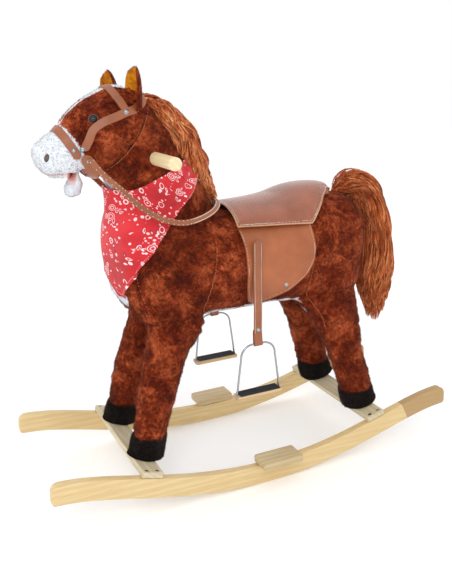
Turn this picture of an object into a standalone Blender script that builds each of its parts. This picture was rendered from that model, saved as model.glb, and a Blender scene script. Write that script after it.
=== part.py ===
"""A plush rocking horse on two wooden rockers, with saddle, stirrups, bridle and bandana.

The nose points to -X, the near (left) side is -Y and +Z is up. The origin is on the floor,
in the middle between the rockers. Everything is in metres.
"""

import math

import bmesh
import bpy
from mathutils import Matrix, Vector

# Clearances
GAP = 0.0004
SKIN_GAP = 0.0008
SOCKET = 0.0007
TRIM_GAP = 0.0012

# How finely round shapes are drawn
ROUND_LARGE = 24
ROUND_BAR = 20
ROUND_MIDDLE = 16
ROUND_SMALL = 12
SPHERE_BANDS = 8
LEG_SEGMENTS = 14
DOME_ANGLES = (32, 58, 78)
LOFT_STEPS = 2
EDGE_ANGLE = 40
SHARP_ANGLE = 35
TUBE_SHARP_ANGLE = 50
LOFT_SHARP_ANGLE = 60
ALL_SMOOTH = 180
WELD = 1e-5

# Cutting blocks reach past everything they cut
REACH = 0.2
SLAB = 0.4
NEAR_MIDDLE = 0.02
LOW_Z = 0.3

# Rockers: the lower edge is z = a x^2 + b x^4 + c x^6, which straightens the tips
ROCKER_LENGTH = 0.920
ROCKER_SPREAD = 0.329
ROCKER_THICKNESS = 0.018
ROCKER_DEPTH = 0.0416
ROCKER_CURVE = (0.5518, -0.0953, -3.904)
ROCKER_FLAT = 0.015
ROCKER_FACETS = 14
ROCKER_TOE_RADIUS = 0.008
ROCKER_TOP_RADIUS = 0.016
ROCKER_TIP_STEPS = 4
WOOD_EDGE = 0.0015
ROCKER_Y = (ROCKER_SPREAD - ROCKER_THICKNESS) / 2

# Cross boards, which tie the rockers together and carry the hooves
BOARD_X = 0.266
BOARD_WIDTH = 0.044
BOARD_THICKNESS = 0.0125
BOARD_LIFT = 0.0009
BELOW_BOARD = Vector((0.16, 0.40, 0.10))

# Footrests on the rockers
FOOTREST_SIZE = Vector((0.092, 0.050, 0.017))
FOOTREST_X = 0.012
FOOTREST_Y = 0.168
FOOTREST_EDGE = 0.004
FOOTREST_EDGE_STEPS = 3

# Screws through the cross boards
SCREW_HEAD_RADIUS = 0.0036
SCREW_RADIUS = 0.0019
SCREW_LENGTH = 0.030
SCREW_HEAD_HEIGHT = 0.0026
SCREW_PITCH = 0.022

# Inner frame
POST_SIDE = 0.024
POST_FOOT_Z = 0.070
FRAME_BOARD = Vector((0.400, 0.104, 0.018))
FRAME_BOARD_X = 0.010
FRAME_BOARD_Z = 0.4140
POST_TOP_X = 0.168
POST_TOP_Y = 0.036
NECK_POST_DEPTH = 0.042
NECK_POST_WIDTH = 0.028
NECK_POST_FOOT_X = -0.160
NECK_POST_TOP = Vector((-0.213, 0.0, 0.735))

# Handle bar through the neck
HANDLE_RADIUS = 0.0120
HANDLE_LENGTH = 0.320
HANDLE_X = -0.190
HANDLE_Z = 0.676
HANDLE_EDGE = 0.002

# Plush skin. Each section is (x, y, z, tilt in degrees, half height, half width): the half
# height runs along (sin tilt, 0, cos tilt) and the half width along Y.
BARREL_POWER = 2.4
BARREL = (
    (-0.238, 0.0, 0.505, 0, 0.092, 0.076),
    (-0.170, 0.0, 0.470, 0, 0.122, 0.093),
    (-0.090, 0.0, 0.458, 0, 0.114, 0.098),
    (0.000, 0.0, 0.450, 0, 0.103, 0.100),
    (0.100, 0.0, 0.452, 0, 0.106, 0.102),
    (0.180, 0.0, 0.457, 0, 0.113, 0.104),
    (0.250, 0.0, 0.470, 0, 0.098, 0.090),
)
BARREL_DOMES = (0.037, 0.045)
NECK = (
    (-0.150, 0.0, 0.500, 75, 0.112, 0.080),
    (-0.168, 0.0, 0.575, 72, 0.098, 0.071),
    (-0.190, 0.0, 0.640, 70, 0.082, 0.062),
    (-0.213, 0.0, 0.700, 68, 0.073, 0.056),
    (-0.230, 0.0, 0.750, 66, 0.052, 0.046),
)
NECK_DOMES = (0.020, 0.018)
HEAD_TILT = -18.4
HEAD = (
    (-0.195, 0.0, 0.748, HEAD_TILT, 0.054, 0.046),
    (-0.225, 0.0, 0.743, HEAD_TILT, 0.070, 0.057),
    (-0.260, 0.0, 0.727, HEAD_TILT, 0.075, 0.062),
    (-0.300, 0.0, 0.709, HEAD_TILT, 0.068, 0.057),
    (-0.335, 0.0, 0.696, HEAD_TILT, 0.050, 0.047),
    (-0.362, 0.0, 0.685, HEAD_TILT, 0.041, 0.043),
    (-0.384, 0.0, 0.677, HEAD_TILT, 0.034, 0.039),
)
HEAD_DOMES = (0.020, 0.022)
MUZZLE_PLANE_POINT = Vector((-0.350, 0.0, 0.735))
MUZZLE_PLANE_ANGLE = 60.6
FRONT_LEG = (
    (-0.150, 0.046, 0.405, 90, 0.046, 0.036),
    (-0.160, 0.058, 0.350, 90, 0.054, 0.045),
    (-0.190, 0.068, 0.290, 90, 0.045, 0.042),
    (-0.212, 0.077, 0.230, 90, 0.040, 0.038),
    (-0.231, 0.083, 0.170, 90, 0.035, 0.034),
    (-0.241, 0.086, 0.134, 90, 0.0325, 0.032),
)
REAR_LEG = (
    (0.192, 0.046, 0.415, 90, 0.070, 0.038),
    (0.197, 0.058, 0.345, 90, 0.067, 0.048),
    (0.215, 0.070, 0.285, 90, 0.051, 0.044),
    (0.228, 0.079, 0.235, 90, 0.041, 0.040),
    (0.248, 0.087, 0.170, 90, 0.038, 0.037),
    (0.258, 0.090, 0.134, 90, 0.0355, 0.035),
)
LEG_DOMES = (0.020, 0.0)
HOOF_TOP_Z = 0.1336
HOOF_SWELL = (1.05, 1.12, 1.10)
HOOF_DROP = (0.0, 0.020, 0.060)
EAR_X = -0.228
EAR_Y = 0.051
EAR_Z = 0.764
EAR_LEAN = 21
EAR_TURN = 28
EAR = (
    (0.000, 0.0, 0.000, 90, 0.0085, 0.0140),
    (0.000, 0.0, 0.030, 90, 0.0085, 0.0180),
    (0.002, 0.0, 0.056, 90, 0.0065, 0.0135),
    (0.004, 0.0, 0.073, 90, 0.0035, 0.0055),
)
EAR_DOMES = (0.0, 0.003)
EYE_RADIUS = 0.0080
EYE_X = -0.300
EYE_Y = 0.0495
EYE_Z = 0.7525
MANE = (
    (-0.186, 0.0, 0.772, 25, 0.016, 0.022),
    (-0.156, 0.0, 0.750, 42, 0.026, 0.030),
    (-0.126, 0.0, 0.716, 60, 0.031, 0.034),
    (-0.106, 0.0, 0.668, 72, 0.034, 0.034),
    (-0.086, 0.0, 0.628, 65, 0.026, 0.028),
    (-0.066, 0.0, 0.603, 55, 0.014, 0.018),
)
MANE_DOMES = (0.010, 0.008)
MANE_STAND_OFF = 0.0045
TAIL = (
    (0.272, 0.0, 0.588, 0, 0.013, 0.020),
    (0.292, 0.0, 0.584, 22, 0.029, 0.033),
    (0.325, 0.0, 0.556, 52, 0.039, 0.038),
    (0.350, 0.0, 0.500, 75, 0.040, 0.040),
    (0.363, 0.0, 0.420, 88, 0.044, 0.038),
    (0.367, 0.0, 0.340, 90, 0.040, 0.032),
    (0.376, 0.0, 0.275, 95, 0.022, 0.018),
)
TAIL_DOMES = (0.016, 0.024)
TAIL_AXIS = Vector((0.284, 0.0, 0.0))
TAIL_PIN_RADIUS = 0.0040
TAIL_PIN_Z = (0.520, 0.592)

# Lower jaw
JAW_AXIS = Vector((-0.329, 0.0, 0.659))
JAW = (
    (-0.329, 0.0, 0.659, 62, 0.0085, 0.020),
    (-0.3315, 0.0, 0.645, 68, 0.0110, 0.024),
    (-0.3330, 0.0, 0.632, 74, 0.0170, 0.028),
    (-0.3350, 0.0, 0.620, 80, 0.0150, 0.024),
)
JAW_DOMES = (0.004, 0.010)
JAW_POCKET_RADIUS = 0.0172
JAW_POCKET_WIDTH = 0.052
JAW_PIN_RADIUS = 0.0025
JAW_PIN_LENGTH = 0.062

# Saddle: a seat that wraps over the barrel, and a flap on each side
SEAT_POWER = 2.4
SEAT = (
    (-0.036, 0.0, 0.475, 0, 0.096, 0.1045),
    (0.014, 0.0, 0.475, 0, 0.100, 0.1060),
    (0.085, 0.0, 0.475, 0, 0.106, 0.1080),
    (0.134, 0.0, 0.475, 0, 0.121, 0.1090),
    (0.180, 0.0, 0.475, 0, 0.124, 0.0960),
    (0.214, 0.0, 0.475, 0, 0.118, 0.0640),
)
SEAT_DOMES = (0.0, 0.013)
SEAT_OUTLINE = (
    (-0.060, 0.5370),
    (0.148, 0.5270),
    (0.178, 0.5420),
    (0.206, 0.5660),
    (0.230, 0.5950),
    (0.250, 0.7000),
    (-0.060, 0.7000),
)
FLAP_TOP = ((-0.060, 0.5345), (0.160, 0.5240))
LEATHER = 0.0028
FLAP_OUTLINE = (
    (-0.034, 0.538),
    (-0.025, 0.492),
    (-0.022, 0.410),
    (-0.012, 0.376),
    (0.008, 0.368),
    (0.040, 0.376),
    (0.080, 0.392),
    (0.112, 0.420),
    (0.138, 0.462),
    (0.128, 0.536),
)

# Stirrups: strap, bent wire iron and tread
STRAP_TOP = Vector((-0.003, 0.0, 0.511))
STRAP_Y = 0.1070
STRAP_WIDTH = 0.019
STRAP_THICKNESS = 0.003
STRAP_DROP = 0.220
LOOP_RADIUS = 0.0056
LOOP_BORE = 0.0030
LOOP_BORE_LENGTH = 0.06
IRON_WIRE = 0.0021
IRON_TOP_HALF = 0.0125
IRON_SHOULDER = 0.027
IRON_BEND_STEPS = 7
IRON_HALF = 0.0500
IRON_DROP = 0.1100
TREAD_SIZE = Vector((0.108, 0.026, 0.012))
TREAD_SINK = 0.007

# Bridle, cut from a thin shell round the head
STRAP_SHELL = 0.0026
NOSEBAND_WIDTH = 0.016
NOSEBAND_BEHIND = 0.0016
NOSEBAND_TOP = 0.030
NOSEBAND_LENGTH = 0.078
CHEEK_OUTLINE = (
    (-0.327, 0.703),
    (-0.312, 0.697),
    (-0.297, 0.733),
    (-0.280, 0.742),
    (-0.238, 0.754),
    (-0.238, 0.771),
    (-0.283, 0.758),
    (-0.302, 0.743),
)
BROW_OUTLINE = (
    (-0.257, 0.7725),
    (-0.239, 0.7725),
    (-0.247, 0.780),
    (-0.250, 0.830),
    (-0.268, 0.830),
    (-0.265, 0.785),
)
CROWN_OUTLINE = (
    (-0.207, 0.758),
    (-0.192, 0.770),
    (-0.186, 0.830),
    (-0.203, 0.830),
    (-0.206, 0.785),
)
CHIN_OUTLINE = (
    (-0.3330, 0.6850),
    (-0.3190, 0.6500),
    (-0.3165, 0.6200),
    (-0.2960, 0.6200),
    (-0.3010, 0.6500),
    (-0.3080, 0.6920),
    (-0.3160, 0.6930),
)

# Rein: one strap from the left of the bridle, over the withers, to the right
REIN_RADIUS = 0.0040
REIN_HALF = (
    (-0.3140, 0.0610, 0.6860),
    (-0.2980, 0.0700, 0.6650),
    (-0.2640, 0.0840, 0.6330),
    (-0.2270, 0.0940, 0.5980),
    (-0.1900, 0.0980, 0.5760),
    (-0.1520, 0.0970, 0.5640),
    (-0.1150, 0.0910, 0.5630),
    (-0.0800, 0.0760, 0.5680),
    (-0.0560, 0.0500, 0.5700),
    (-0.0450, 0.0200, 0.5700),
)
REIN_POINTS = 41
REIN_FINE_STEPS = 12

# Bandana: a folded triangle round the neck, its point on the chest
BANDANA_THICKNESS = 0.0028
BANDANA_OUTLINE = (
    (-0.310, 0.640),
    (-0.250, 0.626),
    (-0.215, 0.640),
    (-0.177, 0.654),
    (-0.136, 0.668),
    (-0.104, 0.668),
    (-0.104, 0.628),
    (-0.118, 0.622),
    (-0.185, 0.510),
    (-0.250, 0.425),
    (-0.310, 0.415),
)

SIDES = {"left": -1, "right": 1}
ALONG_X = (1, 0, 0)
ALONG_Y = (0, 1, 0)
ALONG_Z = (0, 0, 1)

COLOURS = {
    "beech": ((0.78, 0.62, 0.38), 0.45, 0.0),
    "board_wood": ((0.62, 0.50, 0.34), 0.55, 0.0),
    "frame_wood": ((0.66, 0.50, 0.31), 0.70, 0.0),
    "screw_steel": ((0.75, 0.76, 0.78), 0.30, 1.0),
    "brown_plush": ((0.19, 0.045, 0.016), 0.90, 0.0),
    "white_plush": ((0.83, 0.87, 0.90), 0.90, 0.0),
    "black_plush": ((0.010, 0.011, 0.014), 0.90, 0.0),
    "long_fur": ((0.38, 0.13, 0.035), 0.80, 0.0),
    "brown_leather": ((0.42, 0.14, 0.06), 0.40, 0.0),
    "bandana_cotton": ((0.72, 0.03, 0.045), 0.85, 0.0),
    "eye_plastic": ((0.012, 0.008, 0.006), 0.10, 0.0),
    "chrome_wire": ((0.80, 0.81, 0.83), 0.12, 1.0),
    "tread_wood": ((0.62, 0.45, 0.27), 0.55, 0.0),
}


# --- scene helpers ---------------------------------------------------------------------


def clear_scene():
    for obj in list(bpy.data.objects):
        bpy.data.objects.remove(obj, do_unlink=True)


def new_collection(name):
    collection = bpy.data.collections.new(name)
    bpy.context.scene.collection.children.link(collection)
    return collection


def paint(obj, colour_name):
    """Gives the object its own Principled material."""
    colour, roughness, metallic = COLOURS[colour_name]
    material = bpy.data.materials.new(f"{obj.name}_{colour_name}")
    material.use_nodes = True
    shader = material.node_tree.nodes["Principled BSDF"]
    shader.inputs["Base Color"].default_value = (*colour, 1.0)
    shader.inputs["Roughness"].default_value = roughness
    shader.inputs["Metallic"].default_value = metallic
    obj.data.materials.clear()
    obj.data.materials.append(material)


def add_part(name, mesh, colour_name):
    obj = bpy.data.objects.new(name, mesh)
    PARTS.objects.link(obj)
    paint(obj, colour_name)
    return obj


def add_cutter(name, mesh):
    obj = bpy.data.objects.new(name, mesh)
    CUTTERS.objects.link(obj)
    obj.hide_render = True
    obj.display_type = "WIRE"
    return obj


def boolean(obj, other, operation="DIFFERENCE"):
    modifier = obj.modifiers.new(f"{operation.lower()}_{other.name}"[:60], "BOOLEAN")
    modifier.operation = operation
    modifier.solver = "EXACT"
    modifier.object = other
    return obj


def bevel(obj, width, segments=1):
    modifier = obj.modifiers.new("edge", "BEVEL")
    modifier.width = width
    modifier.segments = segments
    modifier.limit_method = "ANGLE"
    modifier.angle_limit = math.radians(EDGE_ANGLE)


def smooth(mesh, angle=SHARP_ANGLE):
    mesh.shade_smooth()
    mesh.set_sharp_from_angle(angle=math.radians(angle))
    return mesh


def mesh_from(name, build):
    """Runs build on a new bmesh and returns it as a mesh whose faces point out."""
    mesh = bpy.data.meshes.new(name)
    bm = bmesh.new()
    build(bm)
    bmesh.ops.recalc_face_normals(bm, faces=bm.faces)
    bm.to_mesh(mesh)
    bm.free()
    return mesh


# --- shapes ----------------------------------------------------------------------------


def box_mesh(name, size, matrix=Matrix()):
    def build(bm):
        bmesh.ops.create_cube(bm, size=1.0, matrix=matrix @ Matrix.Diagonal((*size, 1.0)))

    return mesh_from(name, build)


def cylinder_mesh(name, radius, length, direction, centre=Vector(), segments=ROUND_LARGE):
    """A cylinder about a line through centre."""
    turn = Vector(direction).to_track_quat("Z", "Y").to_matrix().to_4x4()

    def build(bm):
        bmesh.ops.create_cone(
            bm, cap_ends=True, segments=segments, radius1=radius, radius2=radius,
            depth=length, matrix=Matrix.Translation(centre) @ turn,
        )

    return smooth(mesh_from(name, build))


def sphere_mesh(name, radius, centre):
    def build(bm):
        bmesh.ops.create_uvsphere(
            bm, u_segments=ROUND_SMALL, v_segments=SPHERE_BANDS, radius=radius,
            matrix=Matrix.Translation(centre),
        )

    return smooth(mesh_from(name, build), ALL_SMOOTH)


def skew_post_mesh(name, foot, top, half_x, half_y):
    """A square post between two points, with level ends."""
    def build(bm):
        bmesh.ops.create_cube(bm, size=2.0)
        for vert in bm.verts:
            end = top if vert.co.z > 0 else foot
            vert.co = end + Vector((vert.co.x * half_x, vert.co.y * half_y, 0.0))

    return mesh_from(name, build)


def prism_mesh(name, outline, low_y, high_y):
    """A flat outline of (x, z) points, extruded along Y by a filled 2D curve."""
    curve = bpy.data.curves.new(name, "CURVE")
    curve.dimensions = "2D"
    curve.fill_mode = "BOTH"
    curve.extrude = (high_y - low_y) / 2
    spline = curve.splines.new("POLY")
    spline.points.add(len(outline) - 1)
    for point, (x, z) in zip(spline.points, outline):
        point.co = (x, z, 0.0, 1.0)
    spline.use_cyclic_u = True
    stand = Matrix.Translation((0.0, (low_y + high_y) / 2, 0.0)) @ Matrix.Rotation(
        math.radians(90), 4, "X"
    )
    return curve_to_mesh(curve, stand)


def tube_mesh(name, points, radius, resolution=2):
    """A round wire along a run of points."""
    curve = bpy.data.curves.new(name, "CURVE")
    curve.dimensions = "3D"
    curve.bevel_depth = radius
    curve.bevel_resolution = resolution
    curve.use_fill_caps = True
    spline = curve.splines.new("POLY")
    spline.points.add(len(points) - 1)
    for point, place in zip(spline.points, points):
        point.co = (*place, 1.0)
    return smooth(curve_to_mesh(curve, Matrix()), TUBE_SHARP_ANGLE)


def curve_to_mesh(curve, matrix):
    """The evaluated curve as a mesh, with its caps welded on."""
    guide = bpy.data.objects.new(curve.name + "_guide", curve)
    CUTTERS.objects.link(guide)
    graph = bpy.context.evaluated_depsgraph_get()
    mesh = bpy.data.meshes.new_from_object(guide.evaluated_get(graph))
    bpy.data.objects.remove(guide, do_unlink=True)
    bm = bmesh.new()
    bm.from_mesh(mesh)
    bmesh.ops.remove_doubles(bm, verts=bm.verts, dist=WELD)
    bmesh.ops.transform(bm, matrix=matrix, verts=bm.verts)
    bmesh.ops.recalc_face_normals(bm, faces=bm.faces)
    bm.to_mesh(mesh)
    bm.free()
    return mesh


def smooth_run(keys, steps):
    """A smooth curve through the keys, each a tuple of numbers, with steps between two keys."""
    keys = [Vector(key) for key in keys]
    spans = [(b - a).length for a, b in zip(keys, keys[1:])]
    slopes = []
    for i in range(len(keys)):
        before = (keys[i] - keys[i - 1]) / spans[i - 1] if i else None
        after = (keys[i + 1] - keys[i]) / spans[i] if i < len(keys) - 1 else None
        if before is None or after is None:
            slopes.append(after if before is None else before)
        else:
            weight = spans[i - 1] / (spans[i - 1] + spans[i])
            slopes.append(before * (1 - weight) + after * weight)
    run = []
    for i, span in enumerate(spans):
        for step in range(steps):
            t = step / steps
            run.append(
                keys[i] * (2 * t**3 - 3 * t**2 + 1)
                + slopes[i] * (t**3 - 2 * t**2 + t) * span
                + keys[i + 1] * (3 * t**2 - 2 * t**3)
                + slopes[i + 1] * (t**3 - t**2) * span
            )
    run.append(keys[-1])
    return run


def mirrored(sections, side):
    return [(x, y * side, z, *rest) for x, y, z, *rest in sections]


def loft_mesh(name, sections, domes, segments=ROUND_MIDDLE, power=2.0, grow=0.0):
    """A skin over rings that run smoothly through the sections, closed by a dome or a flat."""
    keys = [(x, y, z, math.radians(tilt), high, wide) for x, y, z, tilt, high, wide in sections]
    run = smooth_run(keys, LOFT_STEPS)
    rings = [(Vector(r[:3]), r[3], r[4] + grow, r[5] + grow) for r in run]

    def ring_points(place, tilt, high, wide):
        up = Vector((math.sin(tilt), 0.0, math.cos(tilt)))
        points = []
        for k in range(segments):
            angle = 2 * math.pi * k / segments
            c, s = math.cos(angle), math.sin(angle)
            high_part = math.copysign(abs(c) ** (2 / power), c) * high
            wide_part = math.copysign(abs(s) ** (2 / power), s) * wide
            points.append(place + up * high_part + Vector((0.0, wide_part, 0.0)))
        return points

    def dome(ring, outward, depth):
        """Rings that close an end, each smaller and further out."""
        place, tilt, high, wide = ring
        if depth <= 0:
            return [(place + outward * grow, tilt, high, wide)] if grow else []
        angles = [math.radians(a) for a in DOME_ANGLES]
        return [
            (place + outward * (depth + grow) * math.sin(a), tilt,
             high * math.cos(a), wide * math.cos(a))
            for a in angles
        ]

    def normal(ring, towards):
        """The ring's own normal, on the side that leads out of the loft."""
        axis = Vector((math.cos(ring[1]), 0.0, -math.sin(ring[1])))
        return axis if axis.dot(towards) > 0 else -axis

    first_out = normal(rings[0], rings[0][0] - rings[1][0])
    last_out = normal(rings[-1], rings[-1][0] - rings[-2][0])
    start = dome(rings[0], first_out, domes[0])
    end = dome(rings[-1], last_out, domes[1])
    tips = (
        rings[0][0] + first_out * (domes[0] + grow) if domes[0] else None,
        rings[-1][0] + last_out * (domes[1] + grow) if domes[1] else None,
    )
    rings = start[::-1] + rings + end

    def build(bm):
        loops = [[bm.verts.new(p) for p in ring_points(*ring)] for ring in rings]
        for low, high in zip(loops, loops[1:]):
            for k in range(segments):
                n = (k + 1) % segments
                bm.faces.new((low[k], low[n], high[n], high[k]))
        for loop, tip in ((loops[0], tips[0]), (loops[-1], tips[1])):
            if tip is None:
                bm.faces.new(loop)
                continue
            apex = bm.verts.new(tip)
            for k in range(segments):
                bm.faces.new((loop[k], loop[(k + 1) % segments], apex))

    return smooth(mesh_from(name, build), LOFT_SHARP_ANGLE)


# --- rockers and boards ----------------------------------------------------------------


def rocker_rise(x):
    a, b, c = ROCKER_CURVE
    return a * x**2 + b * x**4 + c * x**6


def rocker_slope(x):
    a, b, c = ROCKER_CURVE
    return math.atan(2 * a * x + 4 * b * x**3 + 6 * c * x**5)


FLOOR = rocker_rise(ROCKER_FLAT)


def rocker_edge(x, offset):
    """The point over the lower edge at x, offset along the edge's normal."""
    slope = rocker_slope(x)
    return (x - offset * math.sin(slope), rocker_rise(x) - FLOOR + offset * math.cos(slope))


def rocker_top(x):
    """The height of the upper edge over x."""
    return rocker_rise(x) - FLOOR + ROCKER_DEPTH / math.cos(rocker_slope(x))


def rocker_outline():
    """Lower edge, rounded tip, upper edge and rounded tip, as (x, z) points."""
    half = ROCKER_LENGTH / 2
    reach = half - ROCKER_TOP_RADIUS
    facet = (reach - ROCKER_FLAT) / ROCKER_FACETS
    steps = [ROCKER_FLAT + facet * k for k in range(ROCKER_FACETS + 1)]
    stations = [-x for x in reversed(steps)] + steps
    lower = [rocker_edge(x, 0.0) for x in stations]
    upper = [rocker_edge(x, ROCKER_DEPTH) for x in stations]

    def tip(side):
        place = rocker_edge(side * reach, 0.0)
        slope = rocker_slope(side * reach)
        along = (side * math.cos(slope), side * math.sin(slope))
        across = (-math.sin(slope), math.cos(slope))
        corners = (
            (ROCKER_TOE_RADIUS, ROCKER_TOE_RADIUS, -90),
            (ROCKER_TOP_RADIUS, ROCKER_DEPTH - ROCKER_TOP_RADIUS, 0),
        )
        points = []
        for radius, height, first in corners:
            for k in range(ROCKER_TIP_STEPS + 1):
                angle = math.radians(first + 90 * k / ROCKER_TIP_STEPS)
                out = ROCKER_TOP_RADIUS - radius + radius * math.cos(angle)
                rise = height + radius * math.sin(angle)
                points.append((place[0] + along[0] * out + across[0] * rise,
                               place[1] + along[1] * out + across[1] * rise))
        return points

    return lower + tip(1)[:-1] + list(reversed(upper)) + list(reversed(tip(-1)))[1:]


def board_frame(x):
    """The middle of a cross board's lower face, with its Z along the board's thickness."""
    lean = Matrix.Rotation(-rocker_slope(x), 4, "Y")
    lift = lean @ Vector((0.0, 0.0, BOARD_LIFT))
    return Matrix.Translation(Vector((x, 0.0, rocker_top(x))) + lift) @ lean


def make_rockers():
    screws = screw_places()
    outline = rocker_outline()
    half = ROCKER_THICKNESS / 2
    for name, side in SIDES.items():
        label = f"rocker_{name}"
        mesh = prism_mesh(label, outline, side * ROCKER_Y - half, side * ROCKER_Y + half)
        rocker = add_part(label, mesh, "beech")
        bevel(rocker, WOOD_EDGE)
        for screw, place in screws.items():
            if name in screw:
                boolean(rocker, SCREW_CUTTERS[screw])


def make_boards():
    size = Vector((BOARD_WIDTH, ROCKER_SPREAD, BOARD_THICKNESS))
    for name, x in (("front", -BOARD_X), ("rear", BOARD_X)):
        centre = board_frame(x) @ Matrix.Translation((0.0, 0.0, BOARD_THICKNESS / 2))
        label = f"cross_board_{name}"
        board = add_part(label, box_mesh(label, size, centre), "board_wood")
        bevel(board, WOOD_EDGE)
        for screw in SCREW_CUTTERS:
            if name in screw:
                boolean(board, SCREW_CUTTERS[screw])


def make_footrests():
    ends = [FOOTREST_X + side * FOOTREST_SIZE.x / 2 for side in (-1, 1)]
    low = max(rocker_top(x) for x in ends) + GAP
    for name, side in SIDES.items():
        place = Matrix.Translation((FOOTREST_X, side * FOOTREST_Y, low + FOOTREST_SIZE.z / 2))
        label = f"footrest_{name}"
        block = add_part(label, box_mesh(label, FOOTREST_SIZE, place), "board_wood")
        bevel(block, FOOTREST_EDGE, FOOTREST_EDGE_STEPS)


def screw_mesh(name, grow=0.0):
    """A countersunk screw turned about Z, its head's top at z = 0."""
    head = SCREW_HEAD_RADIUS + grow
    shank = SCREW_RADIUS + grow
    low = -SCREW_LENGTH - grow
    profile = ((0.0, grow), (head, grow), (shank, -SCREW_HEAD_HEIGHT), (shank, low), (0.0, low))

    def build(bm):
        verts = [bm.verts.new((x, 0.0, z)) for x, z in profile]
        edges = [bm.edges.new(pair) for pair in zip(verts, verts[1:])]
        bmesh.ops.spin(
            bm, geom=verts + edges, cent=(0, 0, 0), axis=(0, 0, 1), angle=2 * math.pi,
            steps=ROUND_SMALL, use_merge=True,
        )
        bmesh.ops.remove_doubles(bm, verts=bm.verts, dist=WELD)

    return smooth(mesh_from(name, build))


def screw_places():
    """Where each screw's head lies, flush in the board's upper face."""
    places = {}
    for end, x in (("front", -BOARD_X), ("rear", BOARD_X)):
        for name, side in SIDES.items():
            for number in (1, 2):
                shift = SCREW_PITCH * (number - 1.5)
                spot = Matrix.Translation((shift, side * ROCKER_Y, BOARD_THICKNESS - GAP))
                places[f"screw_{end}_{name}_{number}"] = board_frame(x) @ spot
    return places


def make_screws():
    for name, place in screw_places().items():
        mesh = screw_mesh(name)
        mesh.transform(place)
        add_part(name, mesh, "screw_steel")


# --- inner frame -----------------------------------------------------------------------


def post_ends(corner, side):
    """Foot and top of a leg post, inside the leg named front or rear."""
    leg = FRONT_LEG if corner == "front" else REAR_LEG
    foot = leg[-1]
    lean = (foot[0] - math.copysign(POST_TOP_X, foot[0])) / (foot[2] - FRAME_BOARD_Z)
    spread = (foot[1] - POST_TOP_Y) / (foot[2] - FRAME_BOARD_Z)
    under = FRAME_BOARD_Z - FRAME_BOARD.z / 2 - GAP

    def at(z):
        x = foot[0] + lean * (z - foot[2])
        y = foot[1] + spread * (z - foot[2])
        return Vector((x, side * y, z))

    return at(POST_FOOT_Z), at(under)


def make_frame():
    for corner in ("front", "rear"):
        for name, side in SIDES.items():
            foot, top = post_ends(corner, side)
            label = f"leg_post_{corner}_{name}"
            half = POST_SIDE / 2
            post = add_part(label, skew_post_mesh(label, foot, top, half, half), "frame_wood")
            boolean(post, BOARD_CUTTERS[corner])
    place = Matrix.Translation((FRAME_BOARD_X, 0.0, FRAME_BOARD_Z))
    add_part("body_board", box_mesh("body_board", FRAME_BOARD, place), "frame_wood")
    foot = Vector((NECK_POST_FOOT_X, 0.0, FRAME_BOARD_Z + FRAME_BOARD.z / 2 + GAP))
    mesh = skew_post_mesh("neck_post", foot, NECK_POST_TOP, NECK_POST_DEPTH / 2, NECK_POST_WIDTH / 2)
    boolean(add_part("neck_post", mesh, "frame_wood"), FRAME_CUTTERS["handle"])


def make_handle():
    centre = Vector((HANDLE_X, 0.0, HANDLE_Z))
    mesh = cylinder_mesh("handle_bar", HANDLE_RADIUS, HANDLE_LENGTH, ALONG_Y, centre, ROUND_BAR)
    bevel(add_part("handle_bar", mesh, "beech"), HANDLE_EDGE)


# --- plush -----------------------------------------------------------------------------


def slab_mesh(name, point, angle, low, high):
    """A block between two planes, low and high metres from point along the angle's direction."""
    direction = Vector((-math.sin(math.radians(angle)), 0.0, -math.cos(math.radians(angle))))
    turn = direction.to_track_quat("Z", "Y").to_matrix().to_4x4()
    centre = Vector(point) + direction * (low + high) / 2
    return box_mesh(name, Vector((SLAB, SLAB, high - low)), Matrix.Translation(centre) @ turn)


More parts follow.
